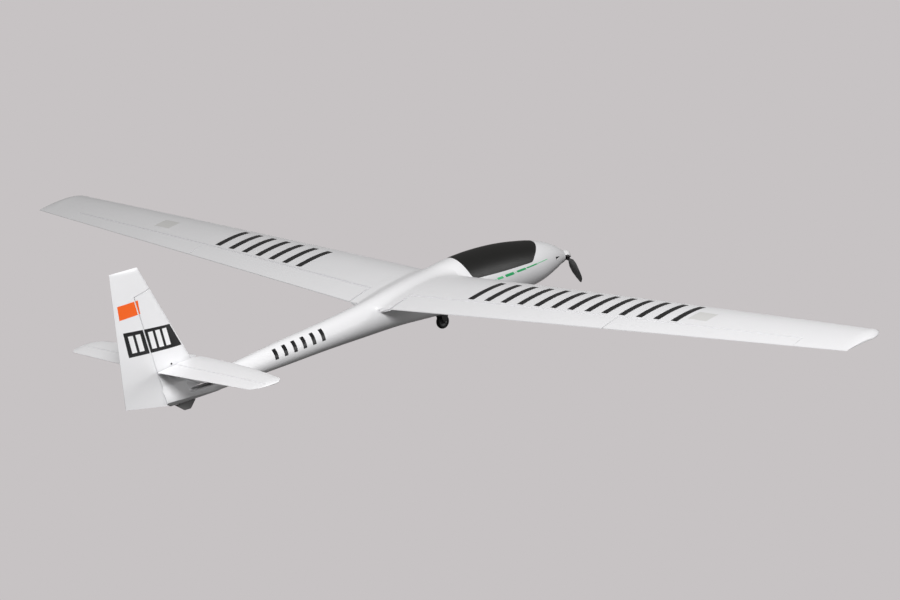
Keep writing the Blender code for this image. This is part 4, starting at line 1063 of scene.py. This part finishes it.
def build_wheel():
    centre = Matrix.Translation((0, along(WHEEL_STATION), WHEEL_RADIUS))
    half = 0.0055
    turns = np.linspace(1.5, -1.5, 26)
    tread = [(WHEEL_RADIUS - 0.0028 * abs(math.sin(a)) ** 3, half * math.sin(a)) for a in turns]
    profile = [(0.0095, half * 0.72)] + tread + [(0.0095, -half * 0.72)]
    tyre = turned("tyre_ring", profile, centre @ ACROSS, 72)
    place(tyre, "wheel", "tyre", "tyre", slot="tyre_rubber")
    profile = [(0.0092, 0.0036), (0.0092, -0.0036), (0.0084, -0.0036), (0.0078, -0.0024), (0.0045, -0.0024),
               (0.0038, -0.0045), (0.0019, -0.0045), (0.0019, 0.0045), (0.0038, 0.0045), (0.0045, 0.0024),
               (0.0078, 0.0024), (0.0084, 0.0036)]
    hub = turned("wheel_hub_disc", profile, centre @ ACROSS, 72)
    holes = []
    for k in range(5):
        a = 2 * math.pi * k / 5
        y, z = 0.0061 * math.cos(a), 0.0061 * math.sin(a)
        holes.append(rod(f"hole_{k}", (-0.01, along(WHEEL_STATION) + y, WHEEL_RADIUS + z),
                         (0.01, along(WHEEL_STATION) + y, WHEEL_RADIUS + z), 0.0011, True, 20))
    combine(hub, "DIFFERENCE", *holes)
    smooth(hub, 35)
    place(hub, "wheel", "hub", "wheel_hub", slot="grey_plastic")


# ---------------------------------------------------------------- finishes of the frame's own solids
def paint_frame():
    finishes = {"carbon": ("wing_joiner_tube", "stabiliser_joiner_tube"), "alloy": ("motor_mount",),
                "steel": ("motor_bell", "motor_stator", "wheel_axle", "elevator_joiner"),
                "skid": ("tail_skid",), "grey": ("receiver", "speed_controller"), "wrap": ("battery",),
                "strap": ("battery_strap",), "plywood": ("equipment_tray",), "black": ("wheel_bracket",)}
    for finish, names in finishes.items():
        for name in names:
            paint(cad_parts[name], finish)
    for name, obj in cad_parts.items():
        if "pushrod" in name:
            paint(obj, "steel")
        elif "servo_arm" in name:
            paint(obj, "white")
        elif "horn" in name or name.endswith("servo") or "_servo_l" in name or "_servo_r" in name:
            paint(obj, "black")


# ---------------------------------------------------------------- backdrop, light and camera
def emission(name, colour, strength):
    mat = bpy.data.materials.new(name)
    mat.use_nodes = True
    shader = mat.node_tree.nodes["Principled BSDF"]
    set_inputs(shader, {"Base Color": (0, 0, 0, 1), "Roughness": 1.0, "Specular IOR Level": 0.0,
                        "Emission Color": colour, "Emission Strength": strength})
    return mat


VIEW_AZIMUTH = math.radians(139.1942)
VIEW_ELEVATION = math.radians(13.9705)
VIEW_ROLL = math.radians(-5.4573)


def view_directions():
    """The camera's right, upward and backward directions."""
    flat = Vector((math.cos(VIEW_AZIMUTH), math.sin(VIEW_AZIMUTH), 0))
    back = flat * math.cos(VIEW_ELEVATION) + Vector((0, 0, math.sin(VIEW_ELEVATION)))
    level = Vector((0, 0, 1)).cross(flat)
    right = level * math.cos(VIEW_ROLL) + back.cross(level) * math.sin(VIEW_ROLL)
    return right, back.cross(right), back


def build_stage():
    """A plain grey studio backdrop, far behind the sailplane."""
    bm = bmesh.new()
    bmesh.ops.create_grid(bm, x_segments=1, y_segments=1, size=4.0)
    back = view_directions()[2]
    facing = back.to_track_quat("Z", "Y").to_matrix().to_4x4()
    facing.translation = back * -12.0
    bmesh.ops.transform(bm, matrix=facing, verts=bm.verts)
    backdrop = from_bmesh("backdrop", bm)
    backdrop.data.materials.append(emission("backdrop", (1.0, 0.955, 0.966, 1), 0.571))


def area_light(name, place_at, target, size, power):
    data = bpy.data.lights.new(name, "AREA")
    data.shape = "DISK"
    data.size = size
    data.energy = power
    obj = bpy.data.objects.new(name, data)
    obj.location = place_at
    obj.rotation_euler = (Vector(target) - Vector(place_at)).to_track_quat("-Z", "Y").to_euler()
    bpy.context.scene.collection.objects.link(obj)


def build_lights():
    """A key lamp above and behind the starboard wing, a low lamp ahead of it, and a dim dome."""
    area_light("key", (-2.0, 2.2, 2.6), (0.2, 0.0, 0.1), 1.4, 146)
    area_light("front", (-3.0, -2.6, 0.9), (0.0, -0.3, 0.1), 1.5, 40)
    world = bpy.data.worlds.new("studio")
    world.use_nodes = True
    nodes, links = world.node_tree.nodes, world.node_tree.links
    where = nodes.new("ShaderNodeTexCoord")
    split = nodes.new("ShaderNodeSeparateXYZ")
    dome = nodes.new("ShaderNodeMapRange")
    set_inputs(dome, {"From Min": -0.3, "From Max": 0.9, "To Min": 0.07, "To Max": 0.28})
    links.new(where.outputs["Generated"], split.inputs["Vector"])
    links.new(split.outputs["Z"], dome.inputs["Value"])
    background = nodes["Background"]
    background.inputs["Color"].default_value = (1.0, 0.975, 0.96, 1)
    links.new(dome.outputs["Result"], background.inputs["Strength"])
    bpy.context.scene.world = world


def build_camera():
    """A long lens, behind and above the starboard side."""
    data = bpy.data.cameras.new("camera")
    data.sensor_width = 36.0
    data.lens = 174.87
    data.clip_end = 100
    obj = bpy.data.objects.new("camera", data)
    obj.matrix_world = Matrix(view_directions()).transposed().to_4x4()
    obj.matrix_world.translation = (-6.7055, 5.5283, 2.2592)
    bpy.context.scene.collection.objects.link(obj)
    bpy.context.scene.camera = obj
    bpy.context.scene.view_settings.view_transform = "Standard"


def main():
    build_fuselage()
    build_canopy()
    build_wings()
    build_tailplane()
    build_rudder()
    build_wing_markings()
    build_fin_markings()
    build_stripe()
    build_boom_marking()
    build_vent_shade_linings()
    build_tail_screws()
    build_propeller()
    build_wheel()
    paint_frame()
    build_stage()
    build_lights()
    build_camera()


main()
